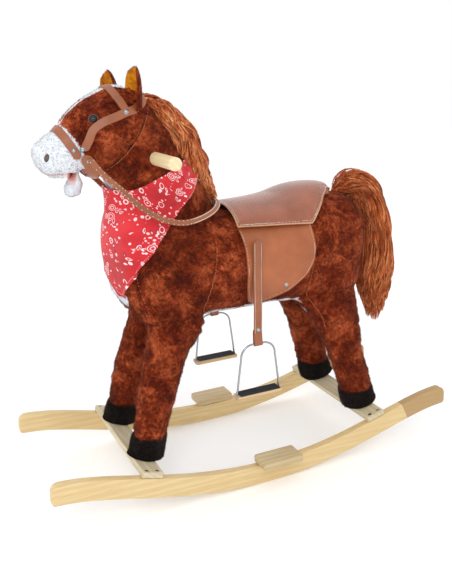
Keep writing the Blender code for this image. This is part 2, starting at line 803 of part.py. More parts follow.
def make_cutters():
    """Every helper solid that cuts, or is cut, more than once."""
    for name, place in screw_places().items():
        mesh = screw_mesh(name + "_hole", GAP)
        mesh.transform(place)
        SCREW_CUTTERS[name] = add_cutter(name + "_hole", mesh)
    for corner, x in (("front", -BOARD_X), ("rear", BOARD_X)):
        height = BOARD_THICKNESS + GAP - BELOW_BOARD.z / 2
        place = board_frame(x) @ Matrix.Translation((0.0, 0.0, height))
        mesh = box_mesh(f"under_{corner}", BELOW_BOARD, place)
        BOARD_CUTTERS[corner] = add_cutter(f"under_{corner}", mesh)

    half = POST_SIDE / 2 + SOCKET
    for corner in ("front", "rear"):
        for name, side in SIDES.items():
            foot, top = post_ends(corner, side)
            label = f"post_socket_{corner}_{name}"
            mesh = skew_post_mesh(label, foot, top + Vector((0, 0, GAP)), half, half)
            FRAME_CUTTERS[f"post_{corner}_{name}"] = add_cutter(label, mesh)
    grown = FRAME_BOARD + Vector((SOCKET, SOCKET, SOCKET)) * 2
    place = Matrix.Translation((FRAME_BOARD_X, 0.0, FRAME_BOARD_Z))
    FRAME_CUTTERS["board"] = add_cutter("board_socket", box_mesh("board_socket", grown, place))
    foot = Vector((NECK_POST_FOOT_X, 0.0, FRAME_BOARD_Z + FRAME_BOARD.z / 2))
    mesh = skew_post_mesh(
        "neck_socket", foot, NECK_POST_TOP + Vector((0, 0, SOCKET)),
        NECK_POST_DEPTH / 2 + SOCKET, NECK_POST_WIDTH / 2 + SOCKET,
    )
    FRAME_CUTTERS["neck"] = add_cutter("neck_socket", mesh)
    centre = Vector((HANDLE_X, 0.0, HANDLE_Z))
    mesh = cylinder_mesh(
        "handle_hole", HANDLE_RADIUS + SOCKET, HANDLE_LENGTH, ALONG_Y, centre, ROUND_BAR
    )
    FRAME_CUTTERS["handle"] = add_cutter("handle_hole", mesh)

    SKINS["barrel"] = add_cutter("barrel_skin", barrel_mesh("barrel_skin", SKIN_GAP))
    SKINS["barrel_trim"] = add_cutter("barrel_trim", barrel_mesh("barrel_trim", TRIM_GAP))
    SKINS["neck"] = add_cutter("neck_skin", neck_mesh("neck_skin", SKIN_GAP))
    SKINS["neck_trim"] = add_cutter("neck_trim", neck_mesh("neck_trim", TRIM_GAP))
    SKINS["neck_mane"] = add_cutter("neck_mane", neck_mesh("neck_mane", MANE_STAND_OFF))
    SKINS["head"] = add_cutter("head_skin", head_mesh("head_skin", SKIN_GAP))
    SKINS["head_trim"] = add_cutter("head_trim", head_mesh("head_trim", TRIM_GAP))
    SKINS["head_mane"] = add_cutter("head_mane", head_mesh("head_mane", MANE_STAND_OFF))

    for key, low, high in (("muzzle_side", GAP, SLAB), ("face_side", -SLAB, 0.0)):
        mesh = slab_mesh(key, MUZZLE_PLANE_POINT, MUZZLE_PLANE_ANGLE, low, high)
        SKINS[key] = add_cutter(key, mesh)
    pocket = cylinder_mesh("jaw_pocket", JAW_POCKET_RADIUS, JAW_POCKET_WIDTH, ALONG_Y, JAW_AXIS)
    SKINS["jaw_pocket"] = add_cutter("jaw_pocket", pocket)
    hole = cylinder_mesh(
        "jaw_pin_hole", JAW_PIN_RADIUS + GAP, JAW_PIN_LENGTH + 2 * GAP, ALONG_Y, JAW_AXIS,
        ROUND_SMALL,
    )
    SKINS["jaw_pin"] = add_cutter("jaw_pin_hole", hole)
    boolean(SKINS["jaw_pocket"], SKINS["jaw_pin"], "UNION")
    for name, side in SIDES.items():
        centre = Vector((EYE_X, side * EYE_Y, EYE_Z))
        socket = sphere_mesh(f"eye_socket_{name}", EYE_RADIUS + TRIM_GAP, centre)
        SKINS[f"eye_{name}"] = add_cutter(f"eye_socket_{name}", socket)
    low, high = TAIL_PIN_Z
    centre = TAIL_AXIS + Vector((0, 0, (low + high) / 2))
    hole = cylinder_mesh(
        "tail_pin_hole", TAIL_PIN_RADIUS + GAP, high - low + 2 * GAP, ALONG_Z, centre, ROUND_SMALL
    )
    SKINS["tail_pin"] = add_cutter("tail_pin_hole", hole)


def barrel_mesh(name, grow=0.0):
    return loft_mesh(name, BARREL, BARREL_DOMES, ROUND_BAR, BARREL_POWER, grow)


def neck_mesh(name, grow=0.0):
    return loft_mesh(name, NECK, NECK_DOMES, grow=grow)


def head_mesh(name, grow=0.0):
    return loft_mesh(name, HEAD, HEAD_DOMES, grow=grow)


def make_body_plush():
    body = add_part("body_plush", barrel_mesh("body_plush"), "brown_plush")
    for key, cutter in FRAME_CUTTERS.items():
        if key != "handle":
            boolean(body, cutter)
    boolean(body, SKINS["tail_pin"])
    neck = add_part("neck_plush", neck_mesh("neck_plush"), "brown_plush")
    for cutter in (SKINS["barrel"], SKINS["head"], FRAME_CUTTERS["neck"], FRAME_CUTTERS["handle"]):
        boolean(neck, cutter)


def make_head():
    head = add_part("head_plush", head_mesh("head_plush"), "brown_plush")
    boolean(head, SKINS["face_side"], "INTERSECT")
    boolean(head, FRAME_CUTTERS["neck"])
    boolean(head, FRAME_CUTTERS["handle"])
    muzzle = add_part("muzzle_plush", head_mesh("muzzle_plush"), "white_plush")
    boolean(muzzle, SKINS["muzzle_side"], "INTERSECT")
    boolean(muzzle, SKINS["jaw_pocket"])
    for name, side in SIDES.items():
        centre = Vector((EYE_X, side * EYE_Y, EYE_Z))
        add_part(f"eye_{name}", sphere_mesh(f"eye_{name}", EYE_RADIUS, centre), "eye_plastic")
        boolean(head, SKINS[f"eye_{name}"])


def make_jaw():
    jaw = add_part("lower_jaw", loft_mesh("lower_jaw", JAW, JAW_DOMES, ROUND_SMALL), "white_plush")
    boolean(jaw, SKINS["jaw_pin"])
    pin = cylinder_mesh("jaw_pin", JAW_PIN_RADIUS, JAW_PIN_LENGTH, ALONG_Y, JAW_AXIS, ROUND_SMALL)
    add_part("jaw_pin", pin, "screw_steel")


def ear_place(side):
    """The ear's own frame: base at its origin, leaning out and turned forward."""
    return (
        Matrix.Translation((EAR_X, side * EAR_Y, EAR_Z))
        @ Matrix.Rotation(math.radians(-side * EAR_LEAN), 4, "X")
        @ Matrix.Rotation(math.radians(-side * EAR_TURN), 4, "Z")
    )


def make_ears():
    for name, side in SIDES.items():
        mesh = loft_mesh(f"ear_{name}", EAR, EAR_DOMES, ROUND_SMALL)
        mesh.transform(ear_place(side))
        ear = add_part(f"ear_{name}", mesh, "brown_plush")
        boolean(ear, SKINS["head_trim"])


def make_legs():
    for corner, sections in (("front", FRONT_LEG), ("rear", REAR_LEG)):
        for name, side in SIDES.items():
            label = f"{corner}_leg_{name}"
            mesh = loft_mesh(label, mirrored(sections, side), LEG_DOMES, LEG_SEGMENTS)
            leg = add_part(label, mesh, "brown_plush")
            boolean(leg, SKINS["barrel"])
            boolean(leg, FRAME_CUTTERS[f"post_{corner}_{name}"])
            make_hoof(corner, name, side, sections)


def make_hoof(corner, name, side, sections):
    """A swollen cuff below the leg, its underside lying on the cross board."""
    x, y, z, tilt, long, wide = sections[-1]
    above = sections[-2]
    drift = (x - above[0]) / (z - above[2])
    rings = [
        (x - drift * drop, side * y, HOOF_TOP_Z - GAP - drop, tilt, long * swell, wide * swell)
        for swell, drop in zip(HOOF_SWELL, HOOF_DROP)
    ]
    label = f"hoof_{corner}_{name}"
    hoof = add_part(label, loft_mesh(label, rings, (0.0, 0.0)), "black_plush")
    boolean(hoof, BOARD_CUTTERS[corner])
    boolean(hoof, FRAME_CUTTERS[f"post_{corner}_{name}"])


def make_mane_and_tail():
    mane = add_part("mane", loft_mesh("mane", MANE, MANE_DOMES), "long_fur")
    for key in ("neck_mane", "head_mane", "barrel_trim"):
        boolean(mane, SKINS[key])
    tail = add_part("tail", loft_mesh("tail", TAIL, TAIL_DOMES), "long_fur")
    boolean(tail, SKINS["barrel_trim"])
    boolean(tail, SKINS["tail_pin"])
    low, high = TAIL_PIN_Z
    centre = TAIL_AXIS + Vector((0, 0, (low + high) / 2))
    pin = cylinder_mesh("tail_pin", TAIL_PIN_RADIUS, high - low, ALONG_Z, centre, ROUND_SMALL)
    add_part("tail_pin", pin, "frame_wood")


# --- saddle and stirrups ---------------------------------------------------------------


def make_saddle():
    mesh = loft_mesh("saddle_seat", SEAT, SEAT_DOMES, ROUND_BAR, SEAT_POWER)
    seat = add_part("saddle_seat", mesh, "brown_leather")
    boolean(seat, SKINS["barrel_trim"])
    outline = add_cutter("seat_outline", prism_mesh("seat_outline", SEAT_OUTLINE, -REACH, REACH))
    boolean(seat, outline, "INTERSECT")
    (front_x, front_z), (rear_x, rear_z) = FLAP_TOP
    under = ((front_x, LOW_Z), (rear_x, LOW_Z), (rear_x, rear_z), (front_x, front_z))
    under_hem = add_cutter("flap_room", prism_mesh("flap_room", under, -REACH, REACH))
    for name, side in SIDES.items():
        label = f"saddle_flap_{name}"
        shell = barrel_mesh(label, TRIM_GAP + LEATHER)
        flap = add_part(label, shell, "brown_leather")
        boolean(flap, SKINS["barrel_trim"])
        low, high = sorted((side * NEAR_MIDDLE, side * REACH))
        sheet = prism_mesh(f"flap_outline_{name}", FLAP_OUTLINE, low, high)
        boolean(flap, add_cutter(f"flap_outline_{name}", sheet), "INTERSECT")
        boolean(flap, under_hem, "INTERSECT")


def strap_frame(name):
    """The strap's own frame: its top at the origin, hanging along -Z."""
    side = SIDES[name]
    return Matrix.Translation((STRAP_TOP.x, side * STRAP_Y, STRAP_TOP.z))


def iron_frame(name):
    """The stirrup's own frame: origin in the strap's loop, the tread hanging along -Z."""
    return strap_frame(name) @ Matrix.Translation((0.0, 0.0, -STRAP_DROP))


def iron_path():
    """Half wire from the top of the arch to the tread, mirrored to the whole bow."""
    arc = [math.radians(90 * k / IRON_BEND_STEPS) for k in range(IRON_BEND_STEPS + 1)]
    radius = IRON_SHOULDER
    corner = [
        Vector((IRON_TOP_HALF + radius * math.sin(a), 0.0, radius * (math.cos(a) - 1)))
        for a in arc
    ]
    half = corner + [Vector((IRON_HALF, 0.0, -IRON_DROP))]
    return [Vector((-p.x, p.y, p.z)) for p in reversed(half)] + half


def make_stirrups():
    for name in SIDES:
        frame = strap_frame(name)
        size = Vector((STRAP_WIDTH, STRAP_THICKNESS, STRAP_DROP))
        place = frame @ Matrix.Translation((0.0, 0.0, -STRAP_DROP / 2))
        label = f"stirrup_strap_{name}"
        strap = add_part(label, box_mesh(label, size, place), "brown_leather")
        centre = Vector((0.0, 0.0, -STRAP_DROP))
        loop = cylinder_mesh(
            f"strap_loop_{name}", LOOP_RADIUS, STRAP_WIDTH, ALONG_X, centre, ROUND_MIDDLE
        )
        loop.transform(frame)
        boolean(strap, add_cutter(f"strap_loop_{name}", loop), "UNION")
        bore = cylinder_mesh(
            f"strap_bore_{name}", LOOP_BORE, LOOP_BORE_LENGTH, ALONG_X, segments=ROUND_SMALL
        )
        bore.transform(iron_frame(name))
        boolean(strap, add_cutter(f"strap_bore_{name}", bore))

        wire = tube_mesh(f"stirrup_iron_{name}", iron_path(), IRON_WIRE)
        wire.transform(iron_frame(name))
        add_part(f"stirrup_iron_{name}", wire, "chrome_wire")
        low = -IRON_DROP + TREAD_SINK - TREAD_SIZE.z / 2
        place = iron_frame(name) @ Matrix.Translation((0.0, 0.0, low))
        label = f"stirrup_tread_{name}"
        tread = add_part(label, box_mesh(label, TREAD_SIZE, place), "tread_wood")
        holes = tube_mesh(f"tread_holes_{name}", iron_path(), IRON_WIRE + GAP)
        holes.transform(iron_frame(name) @ Matrix.Translation((0.0, 0.0, -GAP)))
        boolean(tread, add_cutter(f"tread_holes_{name}", holes))


# --- bridle, rein and bandana ----------------------------------------------------------


def head_strap(name, outline, low_y, high_y):
    """A strap cut from a thin shell round the head by a side outline."""
    strap = add_part(name, head_mesh(name, TRIM_GAP + STRAP_SHELL), "brown_leather")
    boolean(strap, SKINS["head_trim"])
    sheet = prism_mesh(name + "_outline", outline, low_y, high_y)
    boolean(strap, add_cutter(name + "_outline", sheet), "INTERSECT")
    return strap


def make_bridle():
    angle = math.radians(MUZZLE_PLANE_ANGLE)
    ahead = Vector((-math.sin(angle), -math.cos(angle)))
    down = Vector((-ahead.y, ahead.x))
    seam = Vector((MUZZLE_PLANE_POINT.x, MUZZLE_PLANE_POINT.z))
    top = seam - down * NOSEBAND_TOP - ahead * NOSEBAND_BEHIND
    foot = top + down * NOSEBAND_LENGTH
    wide = ahead * NOSEBAND_WIDTH
    noseband = [tuple(p) for p in (top, foot, foot + wide, top + wide)]
    head_strap("noseband", noseband, -REACH, REACH)
    for name, side in SIDES.items():
        low, high = sorted((side * NEAR_MIDDLE, side * REACH))
        cheek = head_strap(f"cheek_strap_{name}", CHEEK_OUTLINE, low, high)
        boolean(cheek, SKINS[f"eye_{name}"])
    head_strap("brow_band", BROW_OUTLINE, -REACH, REACH)
    head_strap("crown_strap", CROWN_OUTLINE, -REACH, REACH)
    head_strap("chin_strap", CHIN_OUTLINE, -REACH, REACH)


def make_rein():
    left = [(x, -y, z) for x, y, z in REIN_HALF]
    keys = left + [(x, y, z) for x, y, z in reversed(REIN_HALF)]
    fine = smooth_run(keys, REIN_FINE_STEPS)
    step = (len(fine) - 1) / (REIN_POINTS - 1)
    points = [fine[round(k * step)] for k in range(REIN_POINTS)]
    add_part("rein", tube_mesh("rein", points, REIN_RADIUS), "brown_leather")


def make_bandana():
    grow = TRIM_GAP + BANDANA_THICKNESS
    bandana = add_part("bandana", neck_mesh("bandana", grow), "bandana_cotton")
    boolean(bandana, add_cutter("bandana_chest", barrel_mesh("bandana_chest", grow)), "UNION")
    boolean(bandana, SKINS["neck_trim"])
    boolean(bandana, SKINS["barrel_trim"])
    sheet = prism_mesh("bandana_outline", BANDANA_OUTLINE, -REACH, REACH)
    boolean(bandana, add_cutter("bandana_outline", sheet), "INTERSECT")


clear_scene()
PARTS = new_collection("plush_rocking_horse")
CUTTERS = new_collection("cutters")
SCREW_CUTTERS = {}
BOARD_CUTTERS = {}
FRAME_CUTTERS = {}
SKINS = {}
make_cutters()
make_rockers()
make_boards()
make_footrests()
make_screws()
make_frame()
make_handle()
make_body_plush()
make_head()
make_jaw()
make_ears()
make_legs()
make_mane_and_tail()
make_saddle()
make_stirrups()
make_bridle()
make_rein()
make_bandana()
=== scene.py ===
"""A plush rocking horse with fur, leather tack and wooden rockers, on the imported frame."""
import math

import bmesh
import bpy
import numpy as np
from mathutils import Matrix, Vector, noise
from mathutils.bvhtree import BVHTree


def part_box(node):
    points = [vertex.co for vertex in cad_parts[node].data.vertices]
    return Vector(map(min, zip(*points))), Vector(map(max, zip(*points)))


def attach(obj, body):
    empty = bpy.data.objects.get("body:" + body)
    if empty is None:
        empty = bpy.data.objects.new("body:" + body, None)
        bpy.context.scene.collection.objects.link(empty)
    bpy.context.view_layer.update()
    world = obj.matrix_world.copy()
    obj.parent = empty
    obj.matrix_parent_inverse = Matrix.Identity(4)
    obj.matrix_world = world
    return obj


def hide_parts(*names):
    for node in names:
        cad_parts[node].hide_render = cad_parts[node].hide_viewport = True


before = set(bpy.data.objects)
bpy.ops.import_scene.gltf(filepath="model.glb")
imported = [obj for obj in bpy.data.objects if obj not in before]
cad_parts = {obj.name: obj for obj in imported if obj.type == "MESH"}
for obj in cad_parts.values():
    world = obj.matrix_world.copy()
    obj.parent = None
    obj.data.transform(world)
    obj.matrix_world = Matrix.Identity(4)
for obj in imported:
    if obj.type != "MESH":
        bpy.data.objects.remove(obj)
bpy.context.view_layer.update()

SIDES = {"left": -1, "right": 1}
ENDS = ("front", "rear")
HORSE = "horse"
WHITE = (1.0, 1.0, 1.0)


# --- camera, light and floor -------------------------------------------------------------


def linked(name, data):
    """A new object in the scene."""
    obj = bpy.data.objects.new(name, data)
    bpy.context.scene.collection.objects.link(obj)
    return obj


def make_camera():
    yaw, pitch, roll = (math.radians(angle) for angle in (25.51, 17.35, -1.115))
    flat = math.cos(pitch)
    look = Vector((math.sin(yaw) * flat, math.cos(yaw) * flat, -math.sin(pitch)))
    level = Vector((math.cos(yaw), -math.sin(yaw), 0.0))
    rise = level.cross(look)
    right = level * math.cos(roll) + rise * math.sin(roll)
    up = rise * math.cos(roll) - level * math.sin(roll)
    data = bpy.data.cameras.new("camera")
    data.lens = 43.91
    data.sensor_width = 36.0
    data.clip_start = 0.01
    data.clip_end = 60.0
    camera = linked("camera", data)
    turn = Matrix((right, up, -look)).transposed().to_4x4()
    camera.matrix_world = Matrix.Translation((-0.6505, -1.3153, 0.8312)) @ turn
    bpy.context.scene.camera = camera


def make_studio():
    for name, place, height, size, power, colour in (
        ("key", (-1.6, -2.6, 2.6), 0.4, 1.7, 27.0, (1.0, 0.98, 0.96)),
        ("front", (-2.4, -0.6, 1.2), 0.45, 1.8, 3.5, WHITE),
        ("fill", (2.4, -1.8, 1.6), 0.4, 2.4, 2.5, WHITE),
        ("top", (0.2, 0.3, 2.9), 0.3, 2.6, 4.0, WHITE),
    ):
        data = bpy.data.lights.new(name, "AREA")
        data.shape = "DISK"
        data.size, data.energy, data.color = size, power, colour
        light = linked(name, data)
        light.location = place
        aim = Vector((0.0, 0.0, height)) - Vector(place)
        light.rotation_euler = aim.to_track_quat("-Z", "Y").to_euler()
    world = bpy.data.worlds.new("studio")
    bpy.context.scene.world = world
    world.use_nodes = True
    background = world.node_tree.nodes["Background"].inputs
    background["Color"].default_value = (*WHITE, 1.0)
    background["Strength"].default_value = 1.0
    bpy.context.scene.view_settings.view_transform = "Standard"

    rings, around, reach, level = 24, 64, 9.0, -0.0005
    verts = [(0.0, 0.0, level)]
    for i in range(1, rings + 1):
        radius = reach * (i / rings) ** 1.6
        for angle in 2 * np.pi * np.arange(around) / around:
            verts.append((radius * math.cos(angle), radius * math.sin(angle), level))
    faces = [(0, 1 + k, 1 + (k + 1) % around) for k in range(around)]
    for a, b, c, d in tube_faces(rings, around):
        faces.append((a + 1, d + 1, c + 1, b + 1))
    mesh = bpy.data.meshes.new("floor")
    mesh.from_pydata(verts, [], faces)
    m = Look("studio_floor")
    m.colour(m.ramp(m.noise(18.0, 3), [(0.0, (0.94, 0.945, 0.95)), (1.0, (0.99, 0.99, 0.99))]))
    m.fixed("Roughness", 0.75)
    m.fixed("Emission Color", (*WHITE, 1.0))
    m.fixed("Emission Strength", 0.10)
    mesh.materials.append(m.material)
    linked("floor", mesh)


# --- materials -----------------------------------------------------------------------------


def srgb(r, g, b):
    """A colour given as it shows on a screen, 0 to 255, in the shader's own scale."""
    return tuple(
        ((c / 255 + 0.055) / 1.055) ** 2.4 if c > 10 else c / 255 / 12.92 for c in (r, g, b)
    )


class Look:
    """A Principled material built node by node on object coordinates, in metres."""

    def __init__(self, name, stretch=(1.0, 1.0, 1.0)):
        self.material = bpy.data.materials.new(name)
        self.material.use_nodes = True
        self.tree = self.material.node_tree
        self.shader = self.tree.nodes["Principled BSDF"]
        coordinates = self.tree.nodes.new("ShaderNodeTexCoord")
        self.object_coords = coordinates.outputs["Object"]
        self.uv = coordinates.outputs["UV"]
        self.where = self.mapping(self.object_coords, stretch)

    def node(self, kind, inputs=(), **settings):
        """A new node. inputs is {socket name or number: number, colour or socket}."""
        made = self.tree.nodes.new(kind)
        for key, value in settings.items():
            setattr(made, key, value)
        for key, value in dict(inputs).items():
            self.put(made.inputs[key], value)
        return made

    def put(self, socket, value):
        if isinstance(value, bpy.types.NodeSocket):
            self.tree.links.new(value, socket)
        else:
            socket.default_value = value

    def fixed(self, name, value):
        """A number or colour that is the same all over, on the shader's own socket."""
        self.shader.inputs[name].default_value = value

    def mapping(self, source, stretch, turn=(0.0, 0.0, 0.0)):
        inputs = {"Vector": source, "Scale": stretch, "Rotation": turn}
        return self.node("ShaderNodeMapping", inputs).outputs["Vector"]

    def noise(self, scale, detail=2.0, roughness=0.5, where=None, distortion=0.0, output="Fac"):
        inputs = {
            "Vector": where or self.where, "Scale": scale, "Detail": detail,
            "Roughness": roughness, "Distortion": distortion,
        }
        return self.node("ShaderNodeTexNoise", inputs).outputs[output]

    def voronoi(self, scale, where=None, randomness=1.0):
        inputs = {"Vector": where or self.where, "Scale": scale, "Randomness": randomness}
        return self.node("ShaderNodeTexVoronoi", inputs, feature="F1").outputs["Distance"]

    def waves(self, scale, direction, where, more=()):
        inputs = {"Vector": where, "Scale": scale, **dict(more)}
        settings = {"wave_type": "BANDS", "bands_direction": direction}
        return self.node("ShaderNodeTexWave", inputs, **settings).outputs["Fac"]

    def ramp(self, source, stops):
        made = self.node("ShaderNodeValToRGB", {"Fac": source})
        elements = made.color_ramp.elements
        while len(elements) < len(stops):
            elements.new(0.5)
        for element, (place, colour) in zip(elements, stops):
            element.position = place
            element.color = (*(colour if isinstance(colour, tuple) else (colour,) * 3), 1.0)
        return made.outputs["Color"]

    def steps(self, source, edges, first=1.0):
        """Bands of full and none along a value, each edge (start, end of its change)."""
        stops, level = [(0.0, first)], first
        for start, end in edges:
            stops += [(start, level), (end, 1.0 if level == 0.0 else 0.0)]
            level = stops[-1][1]
        return self.ramp(source, stops)

    def math(self, operation, a, b=0.0):
        return self.node("ShaderNodeMath", {0: a, 1: b}, operation=operation).outputs["Value"]

    def times(self, a, b):
        return self.math("MULTIPLY", a, b)

    def mix(self, factor, a, b):
        a, b = ((*c, 1.0) if isinstance(c, tuple) else c for c in (a, b))
        inputs = {0: factor, 6: a, 7: b}
        return self.node("ShaderNodeMix", inputs, data_type="RGBA").outputs[2]

    def attribute(self, name):
        return self.node("ShaderNodeAttribute", attribute_name=name).outputs["Fac"]

    def colour(self, source):
        self.put(self.shader.inputs["Base Color"], source)

    def rough(self, source, low, high):
        inputs = {"Value": source, "To Min": low, "To Max": high}
        spread = self.node("ShaderNodeMapRange", inputs)
        self.put(self.shader.inputs["Roughness"], spread.outputs["Result"])

    def bump(self, source, distance, strength=1.0):
        inputs = {"Height": source, "Distance": distance, "Strength": strength}
        normal = self.shader.inputs["Normal"]
        if normal.is_linked:
            inputs["Normal"] = normal.links[0].from_socket
        self.put(normal, self.node("ShaderNodeBump", inputs).outputs["Normal"])

    def sheen(self, weight, roughness, tint):
        self.fixed("Sheen Weight", weight)
        self.fixed("Sheen Roughness", roughness)
        self.fixed("Sheen Tint", (*tint, 1.0))


def pile_look(name, *brown):
    """Crushed pile: large crushed patches, partly the plush's own tone and partly painted sheen,
    small tufts and single fibres, with pale panels.
    """
    m = Look(name)
    dark, middle, light = (srgb(*tone) for tone in brown)
    # The crushed patches: the plush's random tone mixed with painted sheen, lighter and darker
    # where the pile lies different ways.
    patches = m.noise(19.0, 6.0, 0.66, distortion=0.5)
    tufts = m.noise(125.0, 3.0, 0.65)
    both = m.math("ADD", m.times(patches, 0.68), m.times(tufts, 0.32))
    # Attribute shade: the fibres' random tone with painted shade at their roots and painted light
    # at their tips, painted sheen of crushed patches, and on the jaw its painted underside shade.
    own = m.attribute("shade")
    both = m.math("ADD", both, m.times(own, 0.13))
    tone = m.ramp(both, [(0.40, dark), (0.50, middle), (0.61, light)])
    low, high = srgb(206, 213, 222), srgb(232, 237, 243)
    cream = m.ramp(m.math("ADD", tufts, m.times(own, 0.22)), [(0.02, low), (0.34, high)])
    tone = m.mix(m.attribute("white"), tone, cream)
    if name == "plush_brown":
        tone = m.mix(m.attribute("pink"), tone, srgb(214, 150, 140))
    m.colour(tone)
    m.rough(tufts, 0.72, 0.95)
    m.fixed("Specular IOR Level", 0.10)
    m.sheen(0.10, 0.40, (1.0, 0.60, 0.42))
    m.bump(m.noise(420.0, 3.0, 0.7), 0.0016, 0.7)
    m.bump(m.noise(90.0, 2.0), 0.0022, 0.5)
    return m.material


def fur_look(name, *tones):
    """Long fibres: colour by strand, with fine streaks along the fall of the hair, and the painted
    shade and light that the shade attribute carries.
    """
    m = Look(name)
    dark, middle, light = (srgb(*tone) for tone in tones)
    streaks = m.noise(240.0, 3.0, 0.6, where=m.mapping(m.object_coords, (1.0, 1.0, 0.10)))
    value = m.math("ADD", m.times(streaks, 0.5), m.times(m.noise(24.0, 2.0), 0.5))
    # Attribute shade: painted shade at each strand's root and in the core's grooves, painted light
    # at the strand tips, over random tone.
    value = m.math("ADD", value, m.times(m.attribute("shade"), 0.34))
    m.colour(m.ramp(value, [(0.30, dark), (0.52, middle), (0.78, light)]))
    m.rough(streaks, 0.48, 0.75)
    m.fixed("Specular IOR Level", 0.20)
    m.sheen(0.12, 0.4, (1.0, 0.7, 0.5))
    m.bump(streaks, 0.0015, 0.6)
    return m.material


def leather_look(name, dark, light, rough, coat, grain=900.0):
    """Pores and creases, also used fine and smooth for rubber and hard plastic."""
    m = Look(name)
    dark, light = srgb(*dark), srgb(*light)
    tone = m.noise(16.0, 3.0, 0.6)
    creases = m.noise(150.0, 4.0, 0.65, distortion=0.8)
    m.colour(m.mix(m.times(creases, 0.30), m.ramp(tone, [(0.3, dark), (0.7, light)]), dark))
    m.rough(creases, *rough)
    m.fixed("Coat Weight", coat)
    m.fixed("Coat Roughness", 0.28)
    m.bump(m.voronoi(grain), 0.00025, 0.5)
    m.bump(creases, 0.0006, 0.35)
    return m.material


def wood_look(name, pale, tan, line, along="X", joint=None):
    """Straight-grained planed wood: growth bands, fine pores and a soft change of tone.

    Past joint, the x of a scarf joint at the rocker's end, the wood is a darker piece."""
    stretch = {"X": (0.035, 1.0, 1.0), "Y": (1.0, 0.035, 1.0), "Z": (1.0, 1.0, 0.035)}[along]
    m = Look(name, stretch)
    pale, tan, line = srgb(*pale), srgb(*tan), srgb(*line)
    growth = {"Distortion": 5.5, "Detail": 2.0, "Detail Scale": 1.6}
    bands = m.waves(46.0, "DIAGONAL", m.where, growth)
    pores = m.noise(620.0, 3.0, 0.7)
    patches = m.noise(5.0, 2.0, 0.6, where=m.object_coords)
    tone = m.mix(0.7, pale, m.ramp(bands, [(0.15, pale), (0.8, tan)]))
    tone = m.mix(m.times(m.noise(14.0, 2.0, 0.5), 0.45), tone, pale)
    tone = m.mix(m.ramp(pores, [(0.52, 0.0), (0.74, 0.55)]), tone, line)
    tone = m.mix(m.ramp(patches, [(0.45, 0.0), (0.72, 0.45)]), tone, tan)
    if joint:
        x, _, z = m.node("ShaderNodeSeparateXYZ", {0: m.object_coords}).outputs
        gap = m.math("SUBTRACT", m.math("ADD", x, m.times(z, 0.5)), joint)
        tone = m.mix(m.times(m.math("GREATER_THAN", gap, 0.0), 0.75), tone, srgb(160, 122, 72))
        seam = m.math("LESS_THAN", m.math("ABSOLUTE", gap), 0.0006)
        tone = m.mix(m.times(seam, 0.5), tone, srgb(120, 86, 48))
    m.colour(tone)
    m.rough(pores, 0.38, 0.58)
    m.fixed("Coat Weight", 0.12)
    m.fixed("Coat Roughness", 0.3)
    m.bump(pores, 0.0003, 0.35)
    return m.material


def metal_look(name, colour, rough):
    m = Look(name)
    marks = m.noise(700.0, 2.0, 0.5, where=m.mapping(m.object_coords, (0.2, 1.0, 1.0)))
    m.colour(m.ramp(marks, [(0.3, tuple(c * 0.86 for c in colour)), (0.7, colour)]))
    m.fixed("Metallic", 1.0)
    m.rough(marks, *rough)
    m.bump(marks, 0.00005, 0.3)
    return m.material


def thread_look(name, colour):
    m = Look(name)
    colour = srgb(*colour)
    twist = m.noise(2600.0, 1.0)
    m.colour(m.mix(m.times(twist, 0.5), colour, tuple(c * 0.6 for c in colour)))
    m.fixed("Roughness", 0.7)
    m.bump(twist, 0.0002, 0.6)
    return m.material


